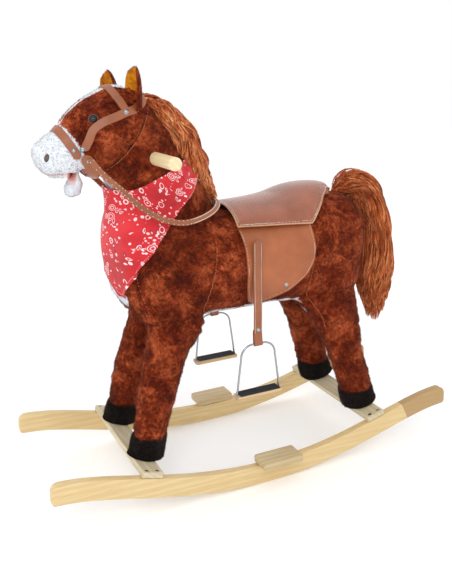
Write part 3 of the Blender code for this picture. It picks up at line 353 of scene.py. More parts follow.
def bandana_look():
    """Red cotton printed with rings, dots, leaves and curls, in the cloth's own coordinates."""
    m = Look("bandana_print")
    bend = {0: m.noise(26.0, where=m.uv, output="Color"), 1: (0.010, 0.010, 0.0), 2: m.uv}
    cloth = m.node("ShaderNodeVectorMath", bend, operation="MULTIPLY_ADD").outputs[0]

    def cells(scale, stretch, turn, randomness):
        where = m.mapping(cloth, stretch, (0.0, 0.0, turn))
        return m.voronoi(scale, where, randomness)

    big = m.voronoi(39.0, cloth, 0.62)
    ring = m.steps(big, [
        (0.05, 0.06), (0.115, 0.125), (0.165, 0.175), (0.235, 0.245), (0.28, 0.29),
    ])
    petals = cells(116.0, (1.0, 0.52, 1.0), 0.7, 0.85)
    petal = m.ramp(petals, [
        (0.0, 0.9), (0.10, 0.9), (0.12, 0.0), (0.22, 0.0), (0.24, 1.0), (0.33, 1.0), (0.35, 0.0),
    ])
    leaf = cells(112.0, (0.52, 1.0, 1.0), -0.5, 0.9)
    leaves = m.steps(leaf, [(0.07, 0.09), (0.19, 0.21), (0.30, 0.32)])
    dots = m.steps(cells(118.0, (1.0, 1.0, 1.0), 0.3, 0.9), [(0.27, 0.31)])
    shadow = m.ramp(petals, [(0.33, 0.0), (0.36, 1.0), (0.40, 1.0), (0.43, 0.0)])
    pick = m.noise(34.0, 1.0, where=cloth)
    for_dots = m.ramp(pick, [(0.52, 0.0), (0.53, 1.0)])
    for_petals = m.ramp(pick, [(0.45, 1.0), (0.46, 0.0)])
    for_leaves = m.ramp(pick, [(0.46, 0.0), (0.47, 1.0), (0.52, 1.0), (0.53, 0.0)])
    far = m.ramp(big, [(0.31, 0.0), (0.33, 1.0)])
    printed = m.math("MAXIMUM", m.times(dots, for_dots), m.times(petal, for_petals))
    printed = m.math("MAXIMUM", printed, m.times(leaves, for_leaves))
    printed = m.math("MAXIMUM", m.times(printed, far), ring)
    shadow = m.times(m.times(shadow, for_petals), far)
    threads = m.times(m.waves(380.0, "X", m.uv), m.waves(380.0, "Y", m.uv))
    red = m.ramp(m.noise(12.0, 3.0, where=m.uv), [
        (0.30, srgb(174, 13, 26)), (0.55, srgb(208, 28, 40)), (0.75, srgb(224, 50, 58)),
    ])
    ink = m.ramp(m.noise(60.0, 2.0, where=m.uv), [
        (0.35, srgb(244, 178, 184)), (0.65, srgb(250, 226, 226)),
    ])
    m.colour(m.mix(printed, m.mix(m.times(shadow, 0.75), red, srgb(112, 12, 34)), ink))
    m.rough(threads, 0.75, 0.92)
    m.sheen(0.25, 0.5, (1.0, 0.75, 0.75))
    m.bump(threads, 0.0002, 0.5)
    m.bump(m.noise(55.0, 3.0), 0.0016, 0.55)
    return m.material


def make_looks():
    tables = (
        (pile_look, {
            "plush": ("plush_brown", (78, 19, 5), (124, 43, 14), (183, 87, 49)),
            "black": ("plush_black", (4, 5, 6), (12, 13, 15), (34, 36, 40)),
            "gold": ("plush_gold", (170, 92, 10), (206, 130, 22), (232, 164, 40)),
            "nostril": ("nostril_felt", (60, 50, 46), (92, 80, 76), (120, 108, 102)),
        }),
        (fur_look, {
            "tail": ("fur_tail", (130, 51, 17), (205, 104, 50), (244, 168, 108)),
            "mane": ("fur_mane", (150, 64, 26), (221, 120, 66), (250, 186, 130)),
        }),
        (leather_look, {
            "seat": ("leather_seat", (128, 64, 36), (160, 88, 54), (0.22, 0.34), 0.65),
            "flap": ("leather_flap", (150, 80, 42), (176, 100, 56), (0.42, 0.60), 0.10),
            "strap": ("leather_strap", (132, 72, 42), (162, 96, 60), (0.38, 0.55), 0.12),
            "edge": ("leather_edge", (178, 128, 96), (206, 164, 134), (0.6, 0.8), 0.0),
            "rubber": ("black_rubber", (24, 25, 30), (40, 42, 50), (0.5, 0.7), 0.0, 1500.0),
            "eye": ("eye_black", (4, 3, 3), (9, 6, 5), (0.10, 0.16), 0.15, 300.0),
            "lid": ("eye_amber", (52, 20, 8), (98, 48, 20), (0.25, 0.40), 0.2, 500.0),
        }),
        (wood_look, {
            "rocker": (
                "beech_rocker", (222, 198, 148), (210, 178, 120), (184, 142, 86), "X", 0.385
            ),
            "board": ("board_wood", (212, 200, 170), (190, 172, 134), (146, 124, 90), "Y"),
            "foot": ("footrest_wood", (206, 186, 144), (182, 156, 112), (136, 108, 72)),
            "handle": ("handle_wood", (240, 224, 184), (226, 200, 148), (188, 152, 100), "Y"),
            "tread": ("tread_wood", (214, 184, 138), (188, 150, 102), (132, 96, 58)),
            "frame": ("frame_wood", (226, 206, 164), (204, 176, 124), (152, 120, 78), "Z"),
        }),
        (metal_look, {
            "steel": ("zinc_steel", (0.46, 0.47, 0.49), (0.20, 0.36)),
            "chrome": ("chrome_wire", (0.40, 0.42, 0.46), (0.05, 0.16)),
            # Painted shade: a near-black look for the slots across the screw heads.
            "slotdark": ("painted_slot_shade", (0.06, 0.06, 0.065), (0.5, 0.7)),
        }),
        (thread_look, {
            "seam": ("thread_brown", (176, 104, 68)),
            "thread": ("thread_white", (236, 226, 212)),
        }),
        (bandana_look, {"bandana": ()}),
    )
    return {key: look(*values) for look, table in tables for key, values in table.items()}


# --- mesh helpers --------------------------------------------------------------------------


def piece(name, mesh, look, body=HORSE, replaces=(), angle=180.0):
    """A finished piece: its look or looks, its body, and the CAD nodes that it stands for.

    mesh may also be a list of (verts, faces) shells. Faces meeting over angle stay sharp."""
    if isinstance(mesh, list):
        mesh = joined(name, mesh)
    obj = linked(name, mesh)
    mesh.materials.clear()
    for key in (look,) if isinstance(look, str) else look:
        mesh.materials.append(LOOKS[key])
    mesh.shade_smooth()
    if angle < 180.0:
        mesh.set_sharp_from_angle(angle=math.radians(angle))
    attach(obj, body)
    if replaces:
        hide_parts(*replaces)
    return obj


def facing_out(mesh):
    bm = bmesh.new()
    bm.from_mesh(mesh)
    bmesh.ops.recalc_face_normals(bm, faces=bm.faces)
    bm.to_mesh(mesh)
    bm.free()
    return mesh


def open_mesh(name, verts, faces):
    mesh = bpy.data.meshes.new(name)
    mesh.from_pydata([tuple(v) for v in verts], [], [tuple(int(i) for i in f) for f in faces])
    return mesh


def mesh_of(name, verts, faces):
    return facing_out(open_mesh(name, verts, faces))


def joined(name, parts):
    """Several (verts, faces) shells as one mesh."""
    verts, faces = [], []
    for more, rings in parts:
        start = len(verts)
        verts.extend(more)
        faces.extend(tuple(start + i for i in face) for face in rings)
    return mesh_of(name, verts, faces)


def tube_faces(rings, around, closed=False):
    """Quads between rings of points that follow each other, each ring closed."""
    faces = []
    for i in range(rings if closed else rings - 1):
        a, b = i * around, (i + 1) % rings * around
        for k in range(around):
            n = (k + 1) % around
            faces.append((a + k, a + n, b + n, b + k))
    return faces


def capped(rings, around):
    """The faces of a tube with a flat face at each end."""
    last = (rings - 1) * around
    ends = [tuple(range(around))[::-1], tuple(range(last, last + around))]
    return tube_faces(rings, around) + ends


def rim_of(rows, columns, inset=0):
    """The points round the edge of a grid, numbered row by row, or of the grid inset in it."""
    top, left, bottom, right = inset, inset, rows - 1 - inset, columns - 1 - inset
    rim = [(i, left) for i in range(top, bottom + 1)]
    rim += [(bottom, k) for k in range(left + 1, right + 1)]
    rim += [(i, right) for i in range(bottom - 1, top - 1, -1)]
    rim += [(top, k) for k in range(right - 1, left, -1)]
    return [i * columns + k for i, k in rim]


def with_modifiers(mesh, *settings):
    """The mesh after some modifiers, each a (type, {setting: value}) pair."""
    obj = linked("work", mesh)
    for kind, values in settings:
        modifier = obj.modifiers.new(kind, kind)
        for key, value in values.items():
            setattr(modifier, key, value)
    graph = bpy.context.evaluated_depsgraph_get()
    made = bpy.data.meshes.new_from_object(obj.evaluated_get(graph))
    bpy.data.objects.remove(obj, do_unlink=True)
    made.name = mesh.name
    return made


def points_of(mesh):
    co = np.empty(len(mesh.vertices) * 3)
    mesh.vertices.foreach_get("co", co)
    return co.reshape(-1, 3)


def normals_of(mesh):
    normals = np.empty(len(mesh.vertices) * 3)
    mesh.vertices.foreach_get("normal", normals)
    return normals.reshape(-1, 3)


def set_points(mesh, co):
    mesh.vertices.foreach_set("co", np.ascontiguousarray(co, float).ravel())
    mesh.update()


def bell(*terms):
    """1 at no gap, falling off smoothly over a width, for each gap and width given."""
    return np.exp(-sum((gap / width) ** 2 for gap, width in zip(terms[::2], terms[1::2])))


def unit(vectors):
    return vectors / np.maximum(np.linalg.norm(vectors, axis=-1, keepdims=True), 1e-9)


def set_float(mesh, name, values):
    attribute = mesh.attributes.new(name, "FLOAT", "POINT")
    attribute.data.foreach_set("value", np.ascontiguousarray(values, np.float32))


def smooth_run(keys, steps):
    """A curve through keys with steps points to each span, easing from slope to slope."""
    keys = [np.array(key, float) for key in keys]
    spans = [max(np.linalg.norm(b - a), 1e-9) for a, b in zip(keys, keys[1:])]
    slopes = []
    for i in range(len(keys)):
        before = (keys[i] - keys[i - 1]) / spans[i - 1] if i else None
        after = (keys[i + 1] - keys[i]) / spans[i] if i < len(keys) - 1 else None
        if before is None or after is None:
            slopes.append(after if before is None else before)
        else:
            weight = spans[i - 1] / (spans[i - 1] + spans[i])
            slopes.append(before * (1 - weight) + after * weight)
    run = []
    for i, span in enumerate(spans):
        for step in range(steps):
            t = step / steps
            run.append(
                keys[i] * (2 * t**3 - 3 * t**2 + 1)
                + slopes[i] * (t**3 - 2 * t**2 + t) * span
                + keys[i + 1] * (3 * t**2 - 2 * t**3)
                + slopes[i + 1] * (t**3 - t**2) * span
            )
    run.append(keys[-1])
    return run


def even_run(points, count):
    """count points evenly along a polyline."""
    points = np.array(points, float)
    lengths = np.concatenate([[0.0], np.cumsum(np.linalg.norm(np.diff(points, axis=0), axis=1))])
    at = np.linspace(0.0, lengths[-1], count)
    return np.stack([np.interp(at, lengths, points[:, k]) for k in range(points.shape[1])], axis=1)


def loft(sections, domes, segments=40, steps=6, power=2.0, grow=0.0, share=1.0):
    """Rings run smoothly through (x, y, z, tilt, half height, half width), with domed ends."""
    rings = [
        (np.array(r[:3]), math.radians(r[3] / share), r[4] + grow, r[5] + grow)
        for r in smooth_run([(*s[:3], s[3] * share, *s[4:]) for s in sections], steps)
    ]

    def normal(ring, towards):
        axis = np.array([math.cos(ring[1]), 0.0, -math.sin(ring[1])])
        return axis if axis @ towards > 0 else -axis

    def dome(ring, outward, depth):
        place, tilt, high, wide = ring
        deep = depth + grow
        return [
            (place + outward * deep * math.sin(a), tilt, high * math.cos(a), wide * math.cos(a))
            for a in np.radians((15, 30, 45, 60, 74, 84))
        ]

    first = normal(rings[0], rings[0][0] - rings[1][0])
    last = normal(rings[-1], rings[-1][0] - rings[-2][0])
    tips = (rings[0][0] + first * (domes[0] + grow), rings[-1][0] + last * (domes[1] + grow))
    rings = dome(rings[0], first, domes[0])[::-1] + rings + dome(rings[-1], last, domes[1])
    angles = 2 * np.pi * np.arange(segments) / segments
    c, s = np.cos(angles), np.sin(angles)
    high_part = np.sign(c) * np.abs(c) ** (2 / power)
    wide_part = np.sign(s) * np.abs(s) ** (2 / power)
    verts, faces = [], tube_faces(len(rings), segments)
    for place, tilt, high, wide in rings:
        up = np.array([math.sin(tilt), 0.0, math.cos(tilt)])
        verts.extend(place + np.outer(high_part * high, up) + np.outer(wide_part * wide, (0, 1, 0)))
    for tip, base in ((tips[0], 0), (tips[1], (len(rings) - 1) * segments)):
        verts.append(tip)
        for k in range(segments):
            faces.append((base + k, base + (k + 1) % segments, len(verts) - 1))
    return verts, faces


def rippled(co, scale, amount, seed=0.0, stretch=(1.0, 1.0, 1.0)):
    """Smooth noise at each point, from -amount to amount."""
    moved = co * np.array(stretch) * scale + seed
    return amount * np.array([noise.noise(Vector(p)) for p in moved])


def line_distance(points, line):
    """Distance from each 2D point to a polyline."""
    best = np.full(len(points), 1e9)
    line = np.array(line, float)
    for a, b in zip(line, line[1:]):
        ab = b - a
        t = np.clip(((points - a) @ ab) / (ab @ ab), 0.0, 1.0)
        best = np.minimum(best, np.linalg.norm(points - a - t[:, None] * ab, axis=1))
    return best


# --- plush skin ----------------------------------------------------------------------------

BARREL = (
    (-0.238, 0.0, 0.505, 0, 0.092, 0.076),
    (-0.170, 0.0, 0.470, 0, 0.122, 0.093),
    (-0.090, 0.0, 0.458, 0, 0.114, 0.098),
    (0.000, 0.0, 0.450, 0, 0.103, 0.100),
    (0.100, 0.0, 0.452, 0, 0.106, 0.102),
    (0.180, 0.0, 0.457, 0, 0.113, 0.104),
    (0.250, 0.0, 0.470, 0, 0.098, 0.090),
)
NECK = (
    (-0.150, 0.0, 0.500, 75, 0.112, 0.080),
    (-0.168, 0.0, 0.575, 72, 0.098, 0.071),
    (-0.190, 0.0, 0.640, 70, 0.082, 0.062),
    (-0.213, 0.0, 0.700, 68, 0.073, 0.056),
    (-0.230, 0.0, 0.750, 66, 0.052, 0.046),
)
HEAD_TILT = -18.4
HEAD = (
    (-0.195, 0.0, 0.748, HEAD_TILT, 0.054, 0.046),
    (-0.225, 0.0, 0.743, HEAD_TILT, 0.070, 0.057),
    (-0.260, 0.0, 0.727, HEAD_TILT, 0.075, 0.062),
    (-0.300, 0.0, 0.709, HEAD_TILT, 0.068, 0.057),
    (-0.335, 0.0, 0.696, HEAD_TILT, 0.050, 0.047),
    (-0.362, 0.0, 0.685, HEAD_TILT, 0.041, 0.043),
    (-0.384, 0.0, 0.677, HEAD_TILT, 0.034, 0.039),
)
FRONT_LEG = (
    (-0.150, 0.046, 0.405, 90, 0.046, 0.036),
    (-0.160, 0.058, 0.350, 90, 0.054, 0.045),
    (-0.190, 0.068, 0.290, 90, 0.045, 0.042),
    (-0.212, 0.077, 0.230, 90, 0.040, 0.038),
    (-0.231, 0.083, 0.170, 90, 0.035, 0.034),
    (-0.241, 0.086, 0.128, 90, 0.0325, 0.032),
)
REAR_LEG = (
    (0.192, 0.046, 0.415, 90, 0.070, 0.038),
    (0.197, 0.058, 0.345, 90, 0.067, 0.048),
    (0.215, 0.070, 0.285, 90, 0.051, 0.044),
    (0.228, 0.079, 0.235, 90, 0.041, 0.040),
    (0.248, 0.087, 0.170, 90, 0.038, 0.037),
    (0.258, 0.090, 0.128, 90, 0.0355, 0.035),
)
SHOULDER = (
    (-0.222, 0.030, 0.455, 90, 0.030, 0.040),
    (-0.190, 0.052, 0.420, 90, 0.052, 0.042),
    (-0.172, 0.058, 0.370, 90, 0.052, 0.042),
)
HAUNCH = (
    (0.205, 0.050, 0.500, 90, 0.068, 0.040),
    (0.200, 0.058, 0.440, 90, 0.074, 0.047),
    (0.200, 0.060, 0.380, 90, 0.068, 0.046),
)
MUZZLE_POINT = np.array([-0.350, 0.735])
MUZZLE_AHEAD = np.array([-math.sin(math.radians(60.6)), -math.cos(math.radians(60.6))])
JAW_AXIS = np.array([-0.329, 0.659])
JAW_POCKET = 0.0184
EYE = np.array([-0.300, 0.0495, 0.7525])

SEAMS = (  # the (x, z) line of each seam, and how deep it pulls the plush in
    (((-0.215, 0.565), (-0.232, 0.520), (-0.240, 0.470), (-0.236, 0.420), (-0.222, 0.372)), 0.0035),
    (((-0.088, 0.566), (-0.085, 0.520), (-0.090, 0.460), (-0.104, 0.400), (-0.112, 0.360)), 0.0022),
    (((0.135, 0.470), (0.128, 0.420), (0.132, 0.370), (0.160, 0.320), (0.176, 0.280)), 0.0030),
    (((-0.180, 0.795), (-0.200, 0.750), (-0.222, 0.712), (-0.262, 0.672), (-0.290, 0.652)), 0.0020),
)
MOUTH = ((-0.412, 0.668), (-0.395, 0.6495), (-0.365, 0.651), (-0.345, 0.655))


def plush_body():
    """One stuffed skin: barrel, neck, head and legs melted together, then seams and folds."""
    parts = [
        loft(BARREL, (0.037, 0.045), power=2.4), loft(NECK, (0.020, 0.018)),
        loft(HEAD, (0.020, 0.022)),
    ]
    for side in SIDES.values():
        for table, domes in (
            (FRONT_LEG, (0.020, 0.004)), (REAR_LEG, (0.020, 0.004)),
            (SHOULDER, (0.015, 0.015)), (HAUNCH, (0.015, 0.015)),
        ):
            parts.append(loft([(x, y * side, *rest) for x, y, *rest in table], domes))
    mesh = with_modifiers(
        joined("plush_body", parts),
        ("REMESH", {"mode": "VOXEL", "voxel_size": 0.0033, "adaptivity": 0.0}),
        ("SMOOTH", {"factor": 0.5, "iterations": 14}),
    )
    co, normals = points_of(mesh), normals_of(mesh)
    x, middle, z = co[:, 0], np.abs(co[:, 1]), co[:, 2]
    flat = co[:, [0, 2]]
    outer = middle > 0.02
    on_head = z > 0.60
    ahead = (flat - MUZZLE_POINT) @ MUZZLE_AHEAD
    mouth = line_distance(flat, MOUTH)

    def near(place, width):
        return bell(np.linalg.norm(np.abs(co) - place, axis=1), width)

    push = np.zeros(len(co))
    for seam, depth in SEAMS:
        gap = line_distance(flat, smooth_run(seam, 6))
        push -= np.where(outer, depth * bell(gap, 0.0042), 0.0)
        push += np.where(outer, depth * 0.35 * bell(gap - 0.011, 0.006), 0.0)
    push -= np.where(on_head & (normals[:, 2] > 0.1), 0.0012 * bell(middle, 0.003), 0.0)
    push += rippled(co, 16.0, 0.0030, 3.0)
    push += rippled(co, 48.0, 0.0012, 9.0)
    leg = np.clip((0.40 - z) / 0.08, 0.0, 1.0)
    push += leg * rippled(co, 30.0, 0.0024, 21.0, (0.7, 0.7, 2.4))
    for crease, slant, height, pitch in (
        (bell(x + 0.150, 0.05, z - 0.365, 0.035), (0.55, 0.0, 0.85), 0.0026, 330.0),
        (bell(x - 0.150, 0.045, z - 0.360, 0.035), (-0.6, 0.0, 0.8), 0.0024, 340.0),
    ):
        push += np.where(outer, crease * height * np.sin(co @ np.array(slant) * pitch), 0.0)
    push -= 0.0035 * near(np.abs(EYE), 0.013)
    push += 0.0045 * near((0.294, 0.047, 0.772), 0.013)  # brow
    push += 0.0040 * near((0.268, 0.056, 0.700), 0.026)  # cheek
    push += np.where(on_head & (ahead > 0.012), 0.0030 * bell(ahead - 0.036, 0.022), 0.0)
    push -= np.where(on_head, 0.0022 * bell(ahead - 0.006, 0.010), 0.0)
    push -= np.where(on_head, 0.0030 * bell(mouth, 0.0035), 0.0)
    co = co + normals * push[:, None]
    keel = bell(co[:, 0] + 0.225, 0.055, co[:, 2] - 0.398, 0.048, co[:, 1], 0.078)
    co += keel[:, None] * np.array([-0.030, 0.0, -0.009])
    reach = np.where(on_head, np.maximum(ahead - 0.022, 0.0), 0.0)
    co[:, [0, 2]] -= np.outer(reach * 0.16, MUZZLE_AHEAD)

    gap = flat - JAW_AXIS
    radius = np.linalg.norm(gap, axis=1)
    room = np.clip((0.031 - np.abs(co[:, 1])) / 0.003, 0.0, 1.0)
    roof = JAW_AXIS[1] + np.sqrt(np.clip(JAW_POCKET**2 - gap[:, 0] ** 2, 0.0, None))
    carve = (radius < JAW_POCKET) & on_head & (room > 0)
    co[:, 2] = np.where(carve, co[:, 2] + (roof - co[:, 2]) * room, co[:, 2])
    set_points(mesh, co)

    normals = normals_of(mesh)
    x, z = co[:, 0], co[:, 2]
    width = 0.0055 + 0.013 * np.clip((z - 0.782) / 0.02, 0.0, 1.0)
    width += 0.016 * np.clip((0.742 - z) / 0.018, 0.0, 1.0)
    wobble = rippled(co, 60.0, 0.006, 2.0)
    blaze = on_head & (middle < width + wobble * 0.4)
    blaze &= (normals[:, 2] - normals[:, 0] > 0.5) & (x < -0.205)
    muzzle = on_head & (ahead > -0.0045 + wobble * 0.2) & (x < -0.299)
    strip = 0.037 * np.clip((z - 0.345) / 0.060, 0.0, 1.0) + wobble * 0.25
    chest = (middle < strip) & ((normals[:, 0] < -0.30) | (normals[:, 2] < -0.2))
    chest &= (z < 0.56) & (x < -0.17)
    belly = (normals[:, 2] < -0.45) & (z > 0.325) & (z < 0.40) & (middle < 0.062 + wobble)
    belly &= np.abs(x - 0.02) < 0.20
    tongue = on_head & (radius < 0.0225) & (middle < 0.030) & (normals[:, 2] < 0.35)
    lips = np.where(on_head & (ahead > 0.0), 0.55 * bell(mouth, 0.003), 0.0)
    set_float(mesh, "white", blaze | muzzle | chest | belly)
    set_float(mesh, "pink", np.maximum(tongue, lips))
    replaced = ["body_plush", "neck_plush", "head_plush", "muzzle_plush"]
    replaced += [f"{end}_leg_{name}" for end in ENDS for name in SIDES]
    obj = piece("plush_body", mesh, "plush", replaces=replaced)
    return obj


# --- things that lie on the skin -----------------------------------------------------------


class Skin:
    """A surface that straps, cloth and fibres are laid on."""

    def __init__(self, mesh):
        self.tree = BVHTree.FromPolygons(
            [v.co.copy() for v in mesh.vertices], [tuple(f.vertices) for f in mesh.polygons]
        )

    def nearest(self, point):
        place, normal, _, _ = self.tree.find_nearest(Vector(point))
        return np.array(place), np.array(normal)

    def cast(self, start, towards):
        direction = (Vector(towards) - Vector(start)).normalized()
        place, normal, _, _ = self.tree.ray_cast(Vector(start), direction)
        if place is None:
            return self.nearest(towards)
        return np.array(place), np.array(normal)

    def from_side(self, x, z, side):
        """Where a level line from that side of the horse meets the surface."""
        return self.cast((x, side * 0.25, z), (x, 0.0, z))


def softened(values, window, closed=False):
    """A running mean along a line."""
    values = np.array(values, float)
    if closed:
        padded = np.concatenate([values[-window:], values, values[:window]])
    else:
        first, last = (np.repeat(end, window, 0) for end in (values[:1], values[-1:]))
        padded = np.concatenate([first, values, last])
    kernel = np.ones(2 * window + 1) / (2 * window + 1)
    columns = [np.convolve(column, kernel, "valid") for column in padded.T]
    return np.stack(columns, axis=1)


def laid(skin, keys, count, lift):
    """A smooth line through keys, laid on the skin: its points and the normals there."""
    line = even_run(smooth_run(keys, 12), count)
    hits = [skin.nearest(p) for p in line]
    normals = unit(softened([n for _, n in hits], 4))
    return softened([p for p, _ in hits], 2) + normals * lift, normals


def frames(points, normals, closed=False):
    """The outward and sideways directions at each point of a line."""
    ahead = np.roll(points, -1, 0) - np.roll(points, 1, 0)
    if not closed:
        ahead[0], ahead[-1] = points[1] - points[0], points[-1] - points[-2]
    ahead = unit(ahead)
    across = unit(np.cross(ahead, normals))
    return np.cross(across, ahead), across


def ribbon(points, normals, half, thick, closed=False):
    """A flat strap with softly rounded edges and ends along a line."""
    out, across = frames(points, normals, closed)
    steps = np.concatenate([[0.0], np.cumsum(np.linalg.norm(np.diff(points, axis=0), axis=1))])
    rise = np.array([0.0, 0.5, 0.92, 1.0, 1.0, 0.92, 0.5, 0.0, -0.02, -0.02])
    side = np.array([-1.0, -1.0, -0.93, -0.55, 0.55, 0.93, 1.0, 1.0, 0.5, -0.5])
    verts = []
    for i, p in enumerate(points):
        wide = half
        if not closed:
            from_end = min(steps[i], steps[-1] - steps[i])
            wide = half * math.sqrt(max(1.0 - (1.0 - min(from_end / half, 1.0)) ** 2, 0.10))
        verts.extend(p + across[i] * wide * u + out[i] * thick * v for u, v in zip(side, rise))
    if closed:
        return verts, tube_faces(len(points), len(side), True)
    return verts, capped(len(points), len(side))


def stitch_row(points, normals, offset, lift, pitch, length, radius):
    """A run of short raised threads beside a line."""
    out, across = frames(points, normals)
    line = points + across * offset + out * lift
    total = np.linalg.norm(np.diff(line, axis=0), axis=1).sum()
    count = max(int(total / pitch), 2)
    fine = even_run(np.concatenate([line, out], axis=1), count * 3 + 1)
    ring_faces = [(0, 1 + (k + 1) % 4, 1 + k) for k in range(4)]
    ring_faces += [(1 + k, 1 + (k + 1) % 4, 5 + (k + 1) % 4, 5 + k) for k in range(4)]
    ring_faces += [(9, 5 + k, 5 + (k + 1) % 4) for k in range(4)]
    shells = []
    for i in range(count):
        start, end, up = fine[i * 3, :3], fine[i * 3 + 2, :3], unit(fine[i * 3 + 1, 3:])
        span = np.linalg.norm(end - start)
        if span < 1e-6:
            continue
        run = (end - start) / span
        middle = (start + end) / 2
        beside = np.cross(run, up)
        ring = [beside * radius, up * radius, -beside * radius, -up * radius]
        verts = [middle - run * length / 2 - up * radius]
        verts += [middle + run * length * share + r for share in (-0.3, 0.3) for r in ring]
        verts.append(middle + run * length / 2 - up * radius)
        shells.append((verts, ring_faces))
    return shells


def turned(profile, place, axis, segments=32):
    """A profile of (radius, height) turned about an axis through place."""
    turn = np.array(Vector(axis).to_track_quat("Z", "Y").to_matrix())
    verts = []
    for radius, height in profile:
        for angle in 2 * np.pi * np.arange(segments) / segments:
            local = np.array([radius * math.cos(angle), radius * math.sin(angle), height])
            verts.append(np.array(place) + turn @ local)
    return verts, capped(len(profile), segments)


def rivet(place, normal, radius):
    """A domed cap on a thin flange."""
    flange = ((1.12, -0.0010), (1.15, 0.0002), (1.04, 0.0006), (0.98, 0.0009))
    profile = [(radius * share, height) for share, height in flange]
    for angle in np.radians(90 * np.arange(1, 9) / 8):
        across = max(radius * 0.96 * math.cos(angle), 0.00005)
        profile.append((across, 0.0009 + radius * 0.62 * math.sin(angle)))
    return turned(profile, place, normal)


# --- bridle --------------------------------------------------------------------------------


STRAP_HALF = 0.0078
STRAP_LIFT = 0.0012
HEADSTALL = (
    (-0.3215, 0.050, 0.6975), (-0.312, 0.055, 0.715), (-0.303, 0.058, 0.7345),
    (-0.290, 0.061, 0.7445), (-0.266, 0.063, 0.7535), (-0.2400, 0.061, 0.7625),
    (-0.2180, 0.057, 0.7700), (-0.2020, 0.050, 0.783), (-0.1960, 0.036, 0.798),
    (-0.1950, 0.018, 0.807), (-0.1950, 0.0, 0.809),
)
BROW = (
    (-0.2395, 0.0600, 0.7640), (-0.2480, 0.055, 0.783), (-0.2560, 0.044, 0.799),
    (-0.2610, 0.024, 0.808), (-0.2625, 0.0, 0.810),
)
CHIN = (
    (-0.3200, 0.0500, 0.6920), (-0.3150, 0.0520, 0.676), (-0.3085, 0.048, 0.660),
    (-0.3040, 0.036, 0.648), (-0.3020, 0.018, 0.641), (-0.3015, 0.0, 0.639),
)
RIVETS = (  # x, y, z, radius, height over the skin
    (-0.3235, 0.052, 0.7005, 0.0044, 0.0034), (-0.3385, 0.050, 0.6990, 0.0038, 0.0042),
    (-0.2400, 0.062, 0.7630, 0.0044, 0.0036), (-0.3155, 0.052, 0.6790, 0.0026, 0.0064),
)


def both_sides(half_line):
    """A line from the near side over its last point and down the far side."""
    return [(x, -y, z) for x, y, z in half_line] + [*half_line[-2::-1]]


def make_bridle(skin):
    down = np.array([-MUZZLE_AHEAD[1], MUZZLE_AHEAD[0]])
    x, z = MUZZLE_POINT + down * 0.040 + MUZZLE_AHEAD * 0.0068
    hits = []
    for angle in np.radians(np.linspace(-126.0, 126.0, 110)):
        rise = math.cos(angle)
        way = -down * rise * (0.15 if rise > 0 else 0.07)
        start = (x + way[0], -0.15 * math.sin(angle), z + way[1])
        hits.append(skin.cast(start, (x, 0.0, z)))
    normals = unit(softened([n for _, n in hits], 5))
    nose = softened([p for p, _ in hits], 3) + normals * (STRAP_LIFT + 0.0008), normals
    cheeks = ("cheek_strap_left", "cheek_strap_right", "crown_strap")
    for name, line, half, replaced in (
        ("headstall", laid(skin, both_sides(HEADSTALL), 190, STRAP_LIFT), STRAP_HALF, cheeks),
        ("brow_strap", laid(skin, both_sides(BROW), 90, STRAP_LIFT - 0.0004), STRAP_HALF,
         ("brow_band",)),
        ("nose_strap", nose, STRAP_HALF, ("noseband",)),
        ("throat_strap", laid(skin, both_sides(CHIN), 110, STRAP_LIFT + 0.0030),
         STRAP_HALF * 1.42, ("chin_strap",)),
    ):
        piece(name, [ribbon(*line, half, 0.0024)], "strap",
              replaces=replaced, angle=55)
    caps = []
    for side in SIDES.values():
        for x, y, z, radius, rise in RIVETS:
            place, normal = skin.nearest((x, side * y, z))
            caps.append(rivet(place + normal * rise, normal, radius))
    piece("bridle_rivets", caps, "chrome", angle=35)


REIN_HALF = (
    (-0.3140, 0.0610, 0.6840),
    (-0.2980, 0.0700, 0.6600),
    (-0.2640, 0.0840, 0.6250),
    (-0.2270, 0.0940, 0.5890),
    (-0.1900, 0.0980, 0.5670),
    (-0.1520, 0.0970, 0.5580),
    (-0.1150, 0.0910, 0.5620),
    (-0.0800, 0.0740, 0.5710),
    (-0.0600, 0.0480, 0.5780),
    (-0.0500, 0.0200, 0.5800),
)


def make_rein():
    """A flat stitched strap on edge beside the neck, lying over the withers."""
    keys = [(x, -y, z) for x, y, z in REIN_HALF] + [*REIN_HALF[::-1]]
    points = even_run(smooth_run(keys, 12), 150)
    normals = []
    for x, y, _ in points:
        back = np.clip((x + 0.11) / 0.06, 0.0, 1.0)
        sideways = math.copysign(1.0, y) * (1.0 - 0.85 * back)
        normals.append(np.array([0.25 * back, sideways, 0.25 + 0.75 * back]))
    normals = unit(softened(normals, 7))
    half, thick = 0.0055, 0.0026
    base = points - frames(points, normals)[0] * thick / 2
    rein = piece("rein_strap", [ribbon(base, normals, half, thick)], "strap",
                 replaces=("rein",), angle=55)
    rows = []
    for face in (1, -1):
        for edge in (half - 0.0017, 0.0017 - half):
            lift = thick / 2 + 0.0001
            rows += stitch_row(points, normals * face, edge, lift, 0.0038, 0.0030, 0.00062)
    thread = piece("rein_stitches", rows, "thread")


# --- bandana -------------------------------------------------------------------------------


